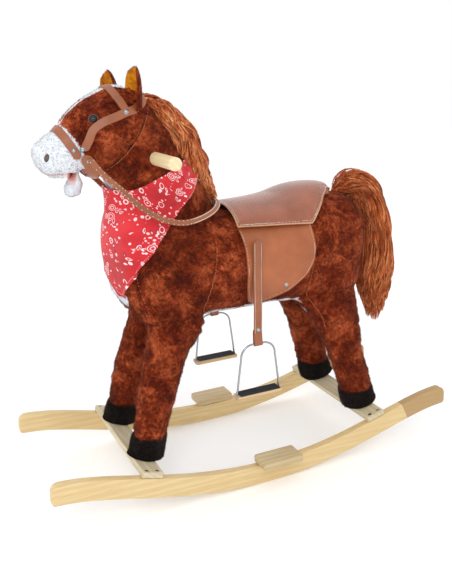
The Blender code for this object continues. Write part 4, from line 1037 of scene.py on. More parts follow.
HEM_TURNS = (
    -170, -156, -138, -120, -100, -84, -66, -48, -34, -17,
    0, 28, 48, 66, 84, 100, 120, 138, 156, 170,
)
HEM_HEIGHTS = (
    0.642, 0.622, 0.607, 0.593, 0.576, 0.556, 0.528, 0.492, 0.454, 0.406,
    0.440, 0.470, 0.488, 0.508, 0.534, 0.558, 0.584, 0.604, 0.621, 0.642,
)
TOP_TURNS = (0, 15, 30, 48, 66, 84, 100, 120, 138, 156, 170)
TOP_HEIGHTS = (
    0.6280, 0.6220, 0.6200, 0.6220, 0.6290, 0.6370, 0.6430, 0.6510, 0.6600, 0.6660, 0.6600,
)
NECK_HEIGHTS = (0.40, 0.50, 0.575, 0.64, 0.70)
NECK_MIDDLES = (-0.150, -0.152, -0.168, -0.190, -0.213)


def make_bandana(skin):
    """A folded triangle wrapped round the neck, its ends gathered behind under the mane."""
    wide, tall = 181, 56
    verts, uvs = [], []
    for turn in np.linspace(-167.0, 167.0, wide):
        low = np.interp(turn, HEM_TURNS, HEM_HEIGHTS)
        top = np.interp(abs(turn), TOP_TURNS, TOP_HEIGHTS)
        angle = math.radians(turn)
        out = np.array([-math.cos(angle), math.sin(angle), 0.0])
        gather = np.clip((abs(turn) - 55.0) / 80.0, 0.0, 1.0)
        for j in range(tall):
            v = j / (tall - 1)
            z = low + (top - low) * v
            centre = np.array([np.interp(z, NECK_HEIGHTS, NECK_MIDDLES), 0.0, z])
            place, normal = skin.cast(centre + out * 0.25, centre)
            lift = 0.0044 + gather * 0.0028 * math.sin(v * 16.0 + 1.2 * math.sin(turn * 0.05))
            drape = 0.0022 * math.sin(turn * 0.115 + 2.2 * v)
            lift += drape * (1.0 - gather) * (1.0 - 0.5 * v)
            lift += 0.0016 * noise.noise(Vector((angle * 2.3, v * 3.0, 4.0)))
            lift += 0.0012 * bell(1.0 - v, 0.05) + 0.0010 * bell(v, 0.04)
            lift += 0.0070 * bell(turn, 38.0, z - 0.575, 0.045)
            verts.append(place + (normal * 0.75 + out * 0.25) * max(lift, 0.0022))
            uvs.append((angle * 0.078, z))
    corners = [i * tall + j for i in range(wide - 1) for j in range(tall - 1)]
    mesh = open_mesh("bandana_cloth", verts, [(a, a + tall, a + tall + 1, a + 1) for a in corners])
    layer = mesh.uv_layers.new(name="cloth")
    for loop in mesh.loops:
        layer.data[loop.index].uv = uvs[loop.vertex_index]
    grid = np.array(verts).reshape(wide, tall, 3)
    for _ in range(3):
        smooth = grid.copy()
        smooth[1:-1, 1:-1] = (
            grid[1:-1, 1:-1] * 2 + grid[:-2, 1:-1] + grid[2:, 1:-1]
            + grid[1:-1, :-2] + grid[1:-1, 2:]
        ) / 6
        grid = smooth
    places = grid.reshape(-1, 3)
    set_points(mesh, places)
    if (normals_of(mesh) * (points_of(mesh) - places.mean(0))).sum() < 0:
        mesh.flip_normals()
    mesh = with_modifiers(mesh, ("SOLIDIFY", {"thickness": 0.0013, "offset": -0.2}))
    cloth = piece("bandana_cloth", mesh, "bandana",
                  replaces=("bandana",), angle=60)
    out = grid[:, 0] - np.array([-0.16, 0.0, 0.0])
    out[:, 2] = 0.0
    rows = stitch_row(grid[:, 2], unit(out), 0.0, 0.0008, 0.0034, 0.0022, 0.00035)
    hem = piece("bandana_stitches", rows, "thread")


# --- saddle and stirrups -------------------------------------------------------------------

SEAT = (
    (-0.036, 0.096, 0.1045),
    (0.014, 0.100, 0.1060),
    (0.085, 0.106, 0.1080),
    (0.134, 0.121, 0.1090),
    (0.180, 0.124, 0.0960),
    (0.214, 0.118, 0.0640),
    (0.222, 0.110, 0.0400),
)
SEAT_HEM = (
    (-0.040, 0.5362), (0.128, 0.5290), (0.148, 0.5500),
    (0.173, 0.5750), (0.199, 0.5880), (0.222, 0.5800),
)
SEAT_ROWS, SEAT_COLUMNS = 58, 49
FLAP_OUTLINE = (
    (-0.034, 0.5400), (-0.025, 0.492), (-0.022, 0.410), (-0.012, 0.376), (0.008, 0.368),
    (0.040, 0.376), (0.080, 0.392), (0.112, 0.420), (0.138, 0.462), (0.128, 0.5380),
)
FLAP_FOLD = ((0.030, 0.500), (0.075, 0.440), (0.085, 0.395))


def pad_faces(rows, columns, rim):
    """Two grids of points, one numbered after the other, joined round their rims."""
    count, across = rows * columns, columns
    faces = []
    for i in range(rows - 1):
        for a in range(i * across, (i + 1) * across - 1):
            b = count + a
            faces.append((a, a + 1, a + across + 1, a + across))
            faces.append((b, b + across, b + across + 1, b + 1))
    return faces + [(a, b, count + b, count + a) for a, b in zip(rim, rim[1:] + rim[:1])]


def seat_mesh(skin):
    """The seat as a closed pad: an arched cover down to its hem, and its underside on the back."""
    base, power = 0.475, 2.4
    run = even_run(smooth_run([(x, h, w) for x, h, w in SEAT], 8), SEAT_ROWS)
    outer, under = [], []
    for i, (x, high, half) in enumerate(run):
        hem = np.interp(x, *zip(*SEAT_HEM))
        limit = math.acos(min(max(((hem - base) / high) ** (power / 2), 0.0), 1.0))
        for k in range(SEAT_COLUMNS):
            angle = limit * (2 * k / (SEAT_COLUMNS - 1) - 1)
            c, s = math.cos(angle), math.sin(angle)
            y = math.copysign(abs(s) ** (2 / power), s) * half
            z = base + c ** (2 / power) * high
            outer.append(np.array([x, y, z]))
            place, normal = skin.cast((x, y * 1.8, z + 0.06), (x, y * 0.2, 0.44))
            from_end = min(SEAT_ROWS - 1 - i, i) * 1.4
            inset = np.clip(min(k, SEAT_COLUMNS - 1 - k, from_end) / 7.0, 0.0, 1.0)
            share = inset**2 * (3.0 - 2.0 * inset)
            if np.linalg.norm(outer[-1] - place) < 0.007:
                share = 0.0
            sewn, resting = outer[-1] - normal * 0.0030, place + normal * 0.0045
            under.append(sewn * (1.0 - share) + resting * share)
    rim = rim_of(SEAT_ROWS, SEAT_COLUMNS)
    faces = pad_faces(SEAT_ROWS, SEAT_COLUMNS, rim)
    return mesh_of("saddle_pad", outer + under, faces), len(outer), np.array(outer)[rim]


def swollen(mesh, held, cap):
    """The points of a closed pad after its cover fills out under pressure, none past cap."""
    obj = linked("work", mesh)
    group = obj.vertex_groups.new(name="held")
    for i, hold in enumerate(held):
        if hold > 0:
            group.add([i], float(hold), "REPLACE")
    cloth = obj.modifiers.new("Cloth", "CLOTH")
    cloth.collision_settings.use_collision = False
    for key, value in (
        ("use_pressure", True), ("uniform_pressure_force", 4.0), ("quality", 6), ("mass", 0.25),
        ("tension_stiffness", 18.0), ("bending_stiffness", 1.2), ("vertex_group_mass", "held"),
    ):
        setattr(cloth.settings, key, value)
    cloth.settings.effector_weights.gravity = 0.0
    for number in range(1, 21):
        bpy.context.scene.frame_set(number)
    graph = bpy.context.evaluated_depsgraph_get()
    done = bpy.data.meshes.new_from_object(obj.evaluated_get(graph))
    bpy.context.scene.frame_set(1)
    bpy.data.objects.remove(obj, do_unlink=True)
    co = points_of(mesh)
    moved = points_of(done) - co
    size = np.linalg.norm(moved, axis=1)
    return co + moved * np.where(size > cap, cap / np.maximum(size, 1e-9), 1.0)[:, None]


def make_saddle(skin):
    mesh, free, rim = seat_mesh(skin)
    co = points_of(mesh)
    steps = np.array([np.linalg.norm(rim - p, axis=1).min() for p in co[:free]])
    held = np.ones(len(co))
    held[:free] = np.clip(1.0 - (steps - 0.004) / 0.012, 0.0, 1.0)
    co = swollen(mesh, held, 0.005)
    normals = normals_of(mesh)
    push = np.zeros(len(co))
    push[:free] -= 0.0016 * bell(steps - 0.0085, 0.0028)
    sag = rippled(co, 22.0, 0.0016, 5.0, (1.0, 0.6, 1.0))
    push[:free] += sag[:free] * np.clip(steps / 0.03, 0.0, 1.0)
    crease = 0.0010 * np.sin(co[:, 0] * 210.0 + 3.0 * np.sin(co[:, 0] * 40.0))
    push[:free] += (bell(np.abs(co[:, 1]) - 0.092, 0.010) * crease)[:free]
    settled = co + normals * push[:, None]
    set_points(mesh, settled)
    mesh = with_modifiers(mesh, ("SUBSURF", {"levels": 1, "render_levels": 1}))
    seat = piece("saddle_pad", mesh, "seat", replaces=("saddle_seat",),
                 angle=60)

    cover = Skin(mesh)
    inner = rim_of(SEAT_ROWS, SEAT_COLUMNS, 1)
    hits = [cover.nearest(p) for p in even_run(settled[inner + inner[:1]], 420)]
    normals = unit(softened([n for _, n in hits], 2))
    rows = stitch_row(np.array([p for p, _ in hits]), normals, 0.0, 0.0003, 0.0046, 0.0034, 0.00062)
    normals = unit(softened([cover.nearest(p)[1] for p in rim], 3, True))
    band = ribbon(rim - normals * 0.0012, normals, 0.0012, 0.0022, closed=True)
    piece("saddle_edge", [band], "edge", angle=50)

    centre = np.array([0.048, 0.452])
    outline = even_run([*FLAP_OUTLINE, FLAP_OUTLINE[0]], 161)[:-1]
    outline = softened(outline, 2, True)
    shares = (0.12, 0.25, 0.38, 0.5, 0.62, 0.73, 0.83, 0.91, 0.96, 0.985, 1.0)
    around = len(outline)
    faces = [(around * len(shares), (k + 1) % around, k) for k in range(around)]
    faces += tube_faces(len(shares), around)
    for name, side in SIDES.items():
        verts = []
        for x, z in np.vstack([centre + (outline - centre) * share for share in shares]):
            place, normal = skin.from_side(x, z, side)
            bulge = 0.0016 * noise.noise(Vector((x * 24.0, z * 24.0, side * 3.0)))
            fold = line_distance(np.array([[x, z]]), FLAP_FOLD)[0]
            lift = 0.0018 + bulge * 0.6 - 0.0008 * bell(fold, 0.006)
            verts.append(place + normal * max(lift, 0.001))
        place, normal = skin.from_side(*centre, side)
        verts.append(place + normal * 0.0018)
        mesh = open_mesh(f"flap_{name}", verts, faces)
        mesh.update()
        if sum(p.normal.y * p.area for p in mesh.polygons) * side < 0:
            mesh.flip_normals()
        mesh = with_modifiers(
            mesh,
            ("SMOOTH", {"factor": 0.5, "iterations": 4}),
            ("SOLIDIFY", {"thickness": 0.0024, "offset": 1.0}),
            ("BEVEL", {"width": 0.0006, "segments": 2, "limit_method": "ANGLE"}),
        )
        piece(f"flap_{name}", mesh, "flap",
              replaces=(f"saddle_flap_{name}",), angle=50)
        flap = Skin(mesh)
        line = centre + (outline - centre) * 0.955
        hits = [flap.from_side(x, z, side) for x, z in np.vstack([line, line[:1]])]
        points = np.array([p for p, _ in hits])
        normals = unit(softened([n for _, n in hits], 3))
        first = np.argmax(points[:, 2] >= 0.522)
        points, normals = (np.roll(values[:-1], -first, 0) for values in (points, normals))
        keep = points[:, 2] < 0.526
        rows += stitch_row(points[keep], normals[keep], 0.0, 0.0001, 0.0044, 0.0029, 0.0004)
        cap = rivet(*flap.from_side(0.068, 0.405, side), 0.0042)
        piece(f"flap_rivet_{name}", [cap], "steel", angle=35)
    piece("saddle_stitches", rows, "thread")


STRAP_TOP = np.array([-0.003, 0.1070, 0.511])
STRAP_DROP = 0.220
IRON_DROP = 0.110


def iron_line():
    """The bent wire of a stirrup iron, as (x, z) from the middle of its strap's loop."""
    bend, reach, shoulder, foot = 0.0125, 0.0500, 0.027, -IRON_DROP
    half = [(bend * k / 4, 0.0) for k in range(4)]
    for a in np.radians(np.arange(0, 91, 6)):
        half.append((bend + shoulder * math.sin(a), shoulder * (math.cos(a) - 1)))
    edge = bend + shoulder
    half += [
        (edge + (reach - edge) * t, -shoulder + (shoulder + foot + 0.004) * t)
        for t in (0.25, 0.5, 0.75, 1.0)
    ]
    half += [
        (reach + 0.0012, foot + 0.001), (reach + 0.0008, foot - 0.0042),
        (reach - 0.0030, foot - 0.0068), (reach - 0.0090, foot - 0.0062),
    ]
    return [(-x, z) for x, z in half[::-1]] + half[1:]


def make_stirrups():
    for name, side in SIDES.items():
        top = STRAP_TOP * np.array([1, side, 1])
        out = np.array([0.0, side, 0.0])
        strap, half, thick = f"strap_{name}", 0.0095, 0.0026
        middle = top - np.array([0.0, 0.0, STRAP_DROP])
        line, outs = [], []
        for d in np.linspace(0.0, STRAP_DROP - 0.014, 52):
            line.append(top + np.array([0.0, side * (0.0004 * math.sin(d * 60.0) - 0.0002), -d]))
            outs.append(out)
        for angle in np.radians(np.arange(0, 181, 12)):
            away = np.array([0.0, side * math.cos(angle), -math.sin(angle)])
            line.append(middle + away * 0.0026)
            outs.append(away)
        for d in np.linspace(0.006, 0.034, 10):
            behind = 0.0030 + 0.0010 * min(d / 0.02, 1.0)
            line.append(middle + np.array([0.0, -side * behind, d]))
            outs.append(-out)
        line, normals = np.array(line), unit(softened(outs, 1))
        piece(f"stirrup_leather_{name}", [ribbon(line, normals, half, thick * 0.92)], "strap",
              strap, (f"stirrup_strap_{name}",), 55)
        line, normals = line[:52], normals[:52]
        rows = []
        for edge in (half - 0.0022, 0.0022 - half):
            rows += stitch_row(
                line[2:-2], normals[2:-2], edge, thick + 0.0001, 0.0042, 0.0032, 0.0006
            )
        piece(f"stirrup_stitches_{name}", rows, "thread", strap)
        cap = rivet(line[-5] + out * thick, out, 0.0040)
        piece(f"stirrup_rivet_{name}", [cap], "steel", strap, angle=35)

        iron = f"stirrup_{name}"
        keys = [middle + np.array([x, 0.0, z]) for x, z in iron_line()]
        path = even_run(smooth_run(keys, 3), 170)
        verts, around = [], 14
        for p, u, b in zip(path, *frames(path, np.tile(out, (len(path), 1)))):
            for a in 2 * np.pi * np.arange(around) / around:
                verts.append(p + (u * math.cos(a) + b * math.sin(a)) * 0.0021)
        piece(f"iron_wire_{name}", [(verts, capped(len(path), around))], "chrome", iron,
              (f"stirrup_iron_{name}",))

        x, y, z = middle + np.array([0.0, 0.0, 0.001 - IRON_DROP])
        block = rounded_shell((x, y, z - 0.0016), (0.104, 0.0255, 0.0088), 0.0020)
        piece(f"tread_block_{name}", [block], "tread", iron,
              (f"stirrup_tread_{name}",), 50)
        pads = [rounded_shell((x, y, z + 0.0042), (0.0930, 0.0245, 0.0030), 0.0010)]
        for k in range(-3, 4):
            ridge = (x, y + k * 0.0032, z + 0.0059)
            pads.append(rounded_shell(ridge, (0.088, 0.0014, 0.0008), 0.0003))
        piece(f"tread_pad_{name}", pads, "rubber", iron, angle=40)


def rounded_shell(centre, size, radius):
    """A block with rounded edges, as verts and faces, from a cube's evenly pushed grid."""
    half = np.array(size) / 2 - radius
    bm = bmesh.new()
    bmesh.ops.create_cube(bm, size=1.0)
    bmesh.ops.subdivide_edges(bm, edges=bm.edges[:], cuts=7, use_grid_fill=True)
    verts = []
    for v in bm.verts:
        p = np.array(v.co) * 2
        whole = np.sign(p) * np.minimum(np.abs(p) ** 0.35, 1.0) * (half + radius)
        core = np.clip(whole, -half, half)
        verts.append(np.array(centre) + core + unit(whole - core) * radius)
    bm.verts.index_update()
    faces = [tuple(v.index for v in f.verts) for f in bm.faces]
    bm.free()
    return verts, faces


# --- fibres --------------------------------------------------------------------------------


def triangle_mesh(name, verts, faces):
    mesh = bpy.data.meshes.new(name)
    mesh.vertices.add(len(verts))
    mesh.vertices.foreach_set("co", np.asarray(verts, np.float32).ravel())
    mesh.loops.add(len(faces) * 3)
    mesh.loops.foreach_set("vertex_index", np.asarray(faces, np.int32).ravel())
    mesh.polygons.add(len(faces))
    mesh.polygons.foreach_set("loop_start", np.arange(len(faces), dtype=np.int32) * 3)
    mesh.update(calc_edges=True)
    return mesh


def scattered(mesh, count, seed):
    """Even random points on a mesh: their places, normals and nearest vertices."""
    mesh.calc_loop_triangles()
    corners = np.empty(len(mesh.loop_triangles) * 3, np.int32)
    mesh.loop_triangles.foreach_get("vertices", corners)
    corners = corners.reshape(-1, 3)
    co, normals = points_of(mesh), normals_of(mesh)
    a, b, c = (co[corners[:, k]] for k in range(3))
    area = np.linalg.norm(np.cross(b - a, c - a), axis=1)
    rng = np.random.default_rng(seed)
    pick = rng.choice(len(corners), count, p=area / area.sum())
    u, v = rng.random((2, count))
    over = u + v > 1
    u[over], v[over] = 1 - u[over], 1 - v[over]
    places = a[pick] + (b - a)[pick] * u[:, None] + (c - a)[pick] * v[:, None]
    return places, normals[corners[pick, 0]], corners[pick, 0]


def three_round(middle, ahead, beside):
    """Three points evenly round each middle."""
    return np.stack([
        middle + ahead, middle - ahead * 0.5 + beside * 0.87, middle - ahead * 0.5 - beside * 0.87,
    ], axis=-2)


def pile(name, roots, flow, length, radius, seed, look, body=HORSE, values=(), lean=0.40):
    """Short fibres lying over along a flow, each one a closed sliver with its own random tone,
    painted darker at its root and lighter at its tip.
    """
    places, normals, shade = roots
    rng = np.random.default_rng(seed)
    count = len(places)
    along = unit(flow - normals * (flow * normals).sum(1)[:, None])
    beside = np.cross(normals, along)
    swirl = rng.normal(0.0, 0.40, count)
    stand = lean * rng.uniform(0.55, 1.6, count)
    way = unit(along + beside * swirl[:, None] + normals * stand[:, None])
    reach = length * rng.uniform(0.65, 1.25, count)
    values = dict(values)
    reach *= 1.0 - 0.35 * values.get("white", 0.0)
    low = places - normals * 0.0007
    base = three_round(low, along * radius, beside * radius)
    verts = np.concatenate([base, (places + way * reach[:, None])[:, None]], axis=1).reshape(-1, 3)
    own = np.arange(count)[:, None, None] * 4
    faces = (own + np.array([[0, 2, 1], [0, 1, 3], [1, 2, 3], [2, 0, 3]])).reshape(-1, 3)
    mesh = triangle_mesh(name, verts, faces)
    tone = shade + rng.normal(0.0, 0.22, count)
    # Painted shade at each fibre's root and painted light at its tip, over its own random tone.
    set_float(mesh, "shade", (tone[:, None] + np.array([-0.30, -0.30, -0.30, 0.30])).ravel())
    for key, value in values.items():
        set_float(mesh, key, np.repeat(value, 4))
    piece(name, mesh, look, body)


def uncovered(places, normals, covers, reach=0.014):
    """Which roots have nothing lying over them."""
    free = np.ones(len(places), bool)
    for cover in covers:
        co = points_of(cover.data)
        low, high = co.min(0) - 0.01, co.max(0) + 0.01
        tree = Skin(cover.data).tree
        for i in np.flatnonzero(((places > low) & (places < high)).all(1) & free):
            start = Vector(places[i] - normals[i] * 0.001)
            free[i] = tree.ray_cast(start, Vector(normals[i]), reach)[0] is None
    return free


def pile_flow(places):
    """The way the pile lies: down and back, with wandering crushed patches."""
    flow = np.tile(np.array([0.42, 0.0, -0.9]), (len(places), 1))
    for k, seed in enumerate((11.0, 31.0, 51.0)):
        flow[:, k] += rippled(places, 20.0, 1.15, seed)
    flow[places[:, 2] > 0.66] += np.array([0.7, 0.0, 0.25])
    return flow


def crushed(places):
    """The tone of the pile at each root in random crushed patches: partly the plush's own tone,
    partly painted sheen where the pile lies different ways.
    """
    return rippled(places, 17.0, 0.75, 71.0) + rippled(places, 46.0, 0.35, 91.0)


def make_seams(skin):
    """The stitched seams between the plush panels, run in a lighter thread."""
    for name, side in SIDES.items():
        rows = []
        for seam, _ in SEAMS:
            run = even_run(smooth_run([(x, side * 0.2, z) for x, z in seam], 8), 90)
            hits = [skin.cast(p, p - np.array([0.0, side * 0.2, 0.0])) for p in run]
            points = softened([place for place, _ in hits], 2)
            normals = unit(np.array([normal for _, normal in hits]))
            rows += stitch_row(points, normals, 0.0, 0.0026, 0.0034, 0.0034, 0.00080)
        piece(f"seam_thread_{name}", rows, "seam")


def bare(places, normals):
    """Which roots stand in a seam, under a foot, or where the jaw or the tail meets the body."""
    x, y, z = places[:, 0], np.abs(places[:, 1]), places[:, 2]
    flat = places[:, [0, 2]]
    found = (z < 0.125) & (normals[:, 2] < -0.3)
    for seam, _ in SEAMS:
        found |= (line_distance(flat, smooth_run(seam, 8)) < 0.0022) & (y > 0.02)
    found |= (x > 0.266) & (y < 0.052) & (z > 0.36) & (normals[:, 0] > 0.25)
    found |= (x > 0.230) & (y < 0.026) & (z > 0.545)
    return found | ((np.linalg.norm(flat - JAW_AXIS, axis=1) < 0.0275) & (y < 0.034) & (z < 0.676))


def make_pile(body, covers):
    masks = {name: np.zeros(len(body.data.vertices)) for name in ("white", "pink")}
    for name, values in masks.items():
        body.data.attributes[name].data.foreach_get("value", values)
    for number in range(3):
        places, normals, nearest = scattered(body.data, 62000, 100 + number)
        free = uncovered(places, normals, covers) & ~bare(places, normals)
        places, normals, nearest = (row[free][:49500] for row in (places, normals, nearest))
        pile(f"plush_pile_{number + 1}", (places, normals, crushed(places)), pile_flow(places),
             0.0066, 0.00052, 200 + number, "plush",
             values={name: values[nearest] for name, values in masks.items()})


def strands(name, roots, path, radius, seed, look, body):
    """Long tapered fibres along ready paths, three sides each."""
    rng = np.random.default_rng(seed)
    count, steps = path.shape[:2]
    ahead = unit(np.gradient(path, axis=1))
    side = unit(np.cross(ahead, roots[:, None, :] + 0.01))
    up = np.cross(side, ahead)
    taper = np.linspace(1.0, 0.22, steps)[None, :, None]
    thick = radius * taper * rng.uniform(0.7, 1.3, count)[:, None, None]
    verts = three_round(path, side * thick, up * thick).reshape(-1, 3)
    own = np.arange(count)[:, None, None, None] * steps * 3
    row = np.arange(steps - 1)[None, :, None, None] * 3
    quads = []
    for k in range(3):
        n = (k + 1) % 3
        quads += [[k, n, 3 + n], [k, 3 + n, 3 + k]]
    faces = (own + row + np.array(quads)[None, None]).reshape(-1, 3)
    tip = steps * 3 - 3
    ends = (own[:, 0] + np.array([[0, 2, 1], [tip, tip + 1, tip + 2]])[None]).reshape(-1, 3)
    mesh = triangle_mesh(name, verts, np.vstack([faces, ends]))
    # Each strand gets its own random tone, painted darker at the root and lighter at the tip:
    # painted shade under the lock and painted light at the ends.
    tone = rng.normal(0.0, 0.45, count)
    along = np.linspace(-0.55, 0.45, steps)
    set_float(mesh, "shade", np.repeat((tone[:, None] + along[None]).ravel(), 3))
    piece(name, mesh, look, body)


def fur(name, sections, domes, body, length, seed, lift, count=5200):
    """A long-haired piece: a grooved core, and locks of strands lying along it."""
    core = mesh_of(f"{name}_core", *loft(sections, domes, 64, 10, 2.0, -0.003, 0.002))
    spine = even_run(smooth_run([r[:3] for r in sections], 8), 60)
    tangents = unit(np.gradient(spine, axis=0))

    def along_spine(points):
        gaps = np.linalg.norm(points[:, None] - spine[None], axis=2)
        return gaps.argmin(1)

    co, normals = points_of(core), normals_of(core)
    run = along_spine(co)
    across = co[:, 1] * 95.0 + np.sign(normals[:, 1]) * 3.0

    def streaks(values, along, extra):
        rows = zip(values, run * along)
        return np.array([noise.noise(Vector((a, r, seed + extra))) for a, r in rows])

    groove = streaks(across, 0.055, 0) + 0.6 * streaks(across * 2.3, 0.09, 5)
    big = streaks(co[:, 1] * 22.0, 0.13, 9)
    set_points(core, co + normals * (groove * 0.0034 + big * 0.0050)[:, None])
    # The core is painted darker all over and most in its grooves: painted shade under the strands
    # and down in the grooves.
    set_float(core, "shade", groove * 0.9 - 0.35)
    piece(f"{name}_core", core, name, body, (name,))

    skin = Skin(core)
    places, normals, _ = scattered(core, count, seed)
    rng = np.random.default_rng(seed)
    locks = rng.choice(count, max(count // 26, 8), replace=False)
    leader = np.empty(count, int)
    for start in range(0, count, 500):
        gaps = places[start:start + 500, None] - places[locks][None]
        leader[start:start + 500] = locks[np.linalg.norm(gaps, axis=2).argmin(1)]
    steps = 7
    own_length = length * rng.uniform(0.75, 1.25, count)[leader] * rng.uniform(0.8, 1.1, count)
    wander = rng.normal(0.0, 0.30, (count, 3))[leader] + rng.normal(0.0, 0.10, (count, 3))
    start = along_spine(places) / 59
    own_length *= 1.0 - 0.72 * np.clip((start - 0.62) / 0.30, 0.0, 1.0)
    high = lift * rng.uniform(0.3, 1.3, count)[leader] + 0.001 * rng.random(count)
    path = np.empty((count, steps, 3))
    position = places - normals * 0.0015
    up = normals.copy()
    path[:, 0] = position
    for step in range(1, steps):
        t = step / (steps - 1)
        index = along_spine(position)
        way = tangents[index] + wander * (0.4 + 0.9 * t)
        way = way - up * (way * up).sum(1)[:, None] * 0.7
        fall = np.clip((index / 59 - 0.86) / 0.12, 0.0, 1.0)[:, None]
        way = unit(way) * (1 - fall) + tangents[index] * fall + np.array([0.0, 0.0, -0.25])
        position = position + unit(way) * (own_length / (steps - 1))[:, None]
        hits = [skin.nearest(p) for p in position]
        ground = np.array([h[0] for h in hits])
        up = np.array([h[1] for h in hits])
        lifted = ground + up * (high * math.sin(math.pi * min(t * 0.8 + 0.1, 1.0)))[:, None]
        position = lifted * (1 - fall) + position * fall
        path[:, step] = position
    pull = (np.linspace(0.0, 1.0, steps) ** 1.4 * 0.62)[None, :, None]
    follow = path[leader] + (places - places[leader])[:, None] * 0.25
    path = path * (1 - pull) + follow * pull
    strands(f"{name}_strands", normals, path, 0.00075, seed + 1, name, body)


MANE = (
    (-0.190, 0.0, 0.776, 22, 0.015, 0.022),
    (-0.158, 0.0, 0.752, 42, 0.027, 0.030),
    (-0.127, 0.0, 0.717, 60, 0.032, 0.034),
    (-0.106, 0.0, 0.668, 72, 0.035, 0.034),
    (-0.086, 0.0, 0.628, 65, 0.027, 0.028),
    (-0.068, 0.0, 0.604, 55, 0.018, 0.022),
    (-0.056, 0.0, 0.590, 50, 0.013, 0.018),
)
TAIL = (
    (0.252, 0.0, 0.5730, -28, 0.010, 0.014),
    (0.270, 0.0, 0.5810, -14, 0.020, 0.022),
    (0.294, 0.0, 0.5830, 18, 0.029, 0.031),
    (0.329, 0.0, 0.558, 52, 0.035, 0.035),
    (0.356, 0.0, 0.500, 75, 0.036, 0.037),
    (0.366, 0.0, 0.420, 88, 0.041, 0.037),
    (0.367, 0.0, 0.340, 90, 0.040, 0.032),
    (0.373, 0.0, 0.285, 93, 0.028, 0.020),
)
JAW = (
    (-0.329, 0.0, 0.659, 62, 0.0080, 0.0190),
    (-0.3315, 0.0, 0.645, 68, 0.0115, 0.0245),
    (-0.3330, 0.0, 0.632, 74, 0.0170, 0.028),
    (-0.3350, 0.0, 0.620, 80, 0.0150, 0.024),
)


# --- face and feet -------------------------------------------------------------------------


def make_jaw():
    mesh = mesh_of("lower_jaw_plush", *loft(JAW, (0.004, 0.010), 40, 8, 2.3, -0.0012))
    co, normals = points_of(mesh), normals_of(mesh)
    set_points(mesh, co + normals * rippled(co, 70.0, 0.0010, 3.0)[:, None])
    pink = np.clip((co[:, 2] - 0.634) / 0.010, 0.0, 1.0)
    pink *= np.clip(-normals[:, 0] * 2.0, 0.0, 1.0)
    # Painted shade: the white plush turns grey towards the bottom of the jaw, in the colour of the
    # jaw and of its pile.
    painted_underside_shade = -1.1 * np.clip((0.621 - co[:, 2]) / 0.010, 0.0, 1.0)
    for name, values in (("white", np.ones(len(co))), ("pink", pink), ("shade", painted_underside_shade)):
        set_float(mesh, name, values)
    jaw = piece("lower_jaw_plush", mesh, "plush", "jaw", ("lower_jaw",))
    places, normals, nearest = scattered(mesh, 4200, 12)
    keep = places[:, 2] < 0.639
    places, normals, nearest = places[keep], normals[keep], nearest[keep]
    flow = np.tile(np.array([0.1, 0.0, -1.0]), (len(places), 1))
    pile("jaw_pile", (places, normals, painted_underside_shade[nearest]), flow, 0.0042, 0.00045, 13, "plush",
         "jaw", {"white": np.ones(len(places)), "pink": pink[nearest]})


def make_eyes(skin):
    dome = [(0.0062, -0.004), (0.0068, -0.0005), (0.0068, 0.0006)]
    for a in np.radians(np.arange(6, 91, 7)):
        dome.append((max(0.0066 * math.cos(a), 0.00004), 0.0008 + 0.0046 * math.sin(a)))
    ring = (
        (0.0098, -0.003), (0.0102, 0.0000), (0.0098, 0.0012), (0.0088, 0.0022),
        (0.0077, 0.0026), (0.0068, 0.0022), (0.0064, 0.0010), (0.0062, -0.002),
    )
    felt = (
        (0.0040, -0.0012), (0.0042, 0.0002), (0.0038, 0.0010), (0.0026, 0.0015),
        (0.0010, 0.0017), (0.00005, 0.0017),
    )
    for name, side in SIDES.items():
        place, normal = skin.nearest((EYE[0], side * EYE[1], EYE[2]))
        normal = unit(normal * 0.6 + np.array([-0.25, side * 0.75, 0.1]))
        place = place - normal * 0.0004
        piece(f"eye_ball_{name}", [turned(dome, place, normal)], "eye",
              replaces=(f"eye_{name}",), angle=60)
        piece(f"eye_lid_{name}", [turned(ring, place, normal)], "lid", angle=60)
        nostril, out = skin.nearest((-0.3860, side * 0.0400, 0.6885))
        verts, faces = turned(felt, (0, 0, 0), (0, 0, 1), 24)
        turn = Vector(out).to_track_quat("Z", "Y").to_matrix()
        turn = np.array(turn @ Matrix.Rotation(math.radians(18 * side), 3, "Z"))
        verts = [nostril + turn @ (v * np.array([1.05, 1.75, 1.0])) for v in verts]
        piece(f"nostril_{name}", [(verts, faces)], "nostril", angle=60)


EARS = {"left": (-0.221, 16, 12), "right": (-0.235, 28, 20)}  # x, degrees out, degrees round
EAR_HEIGHTS = (0, 0.2, 0.42, 0.65, 0.82, 0.92, 0.97, 1.0)
EAR_HALF_WIDTHS = (0.0165, 0.0190, 0.0205, 0.0200, 0.0172, 0.0130, 0.0092, 0.0045)


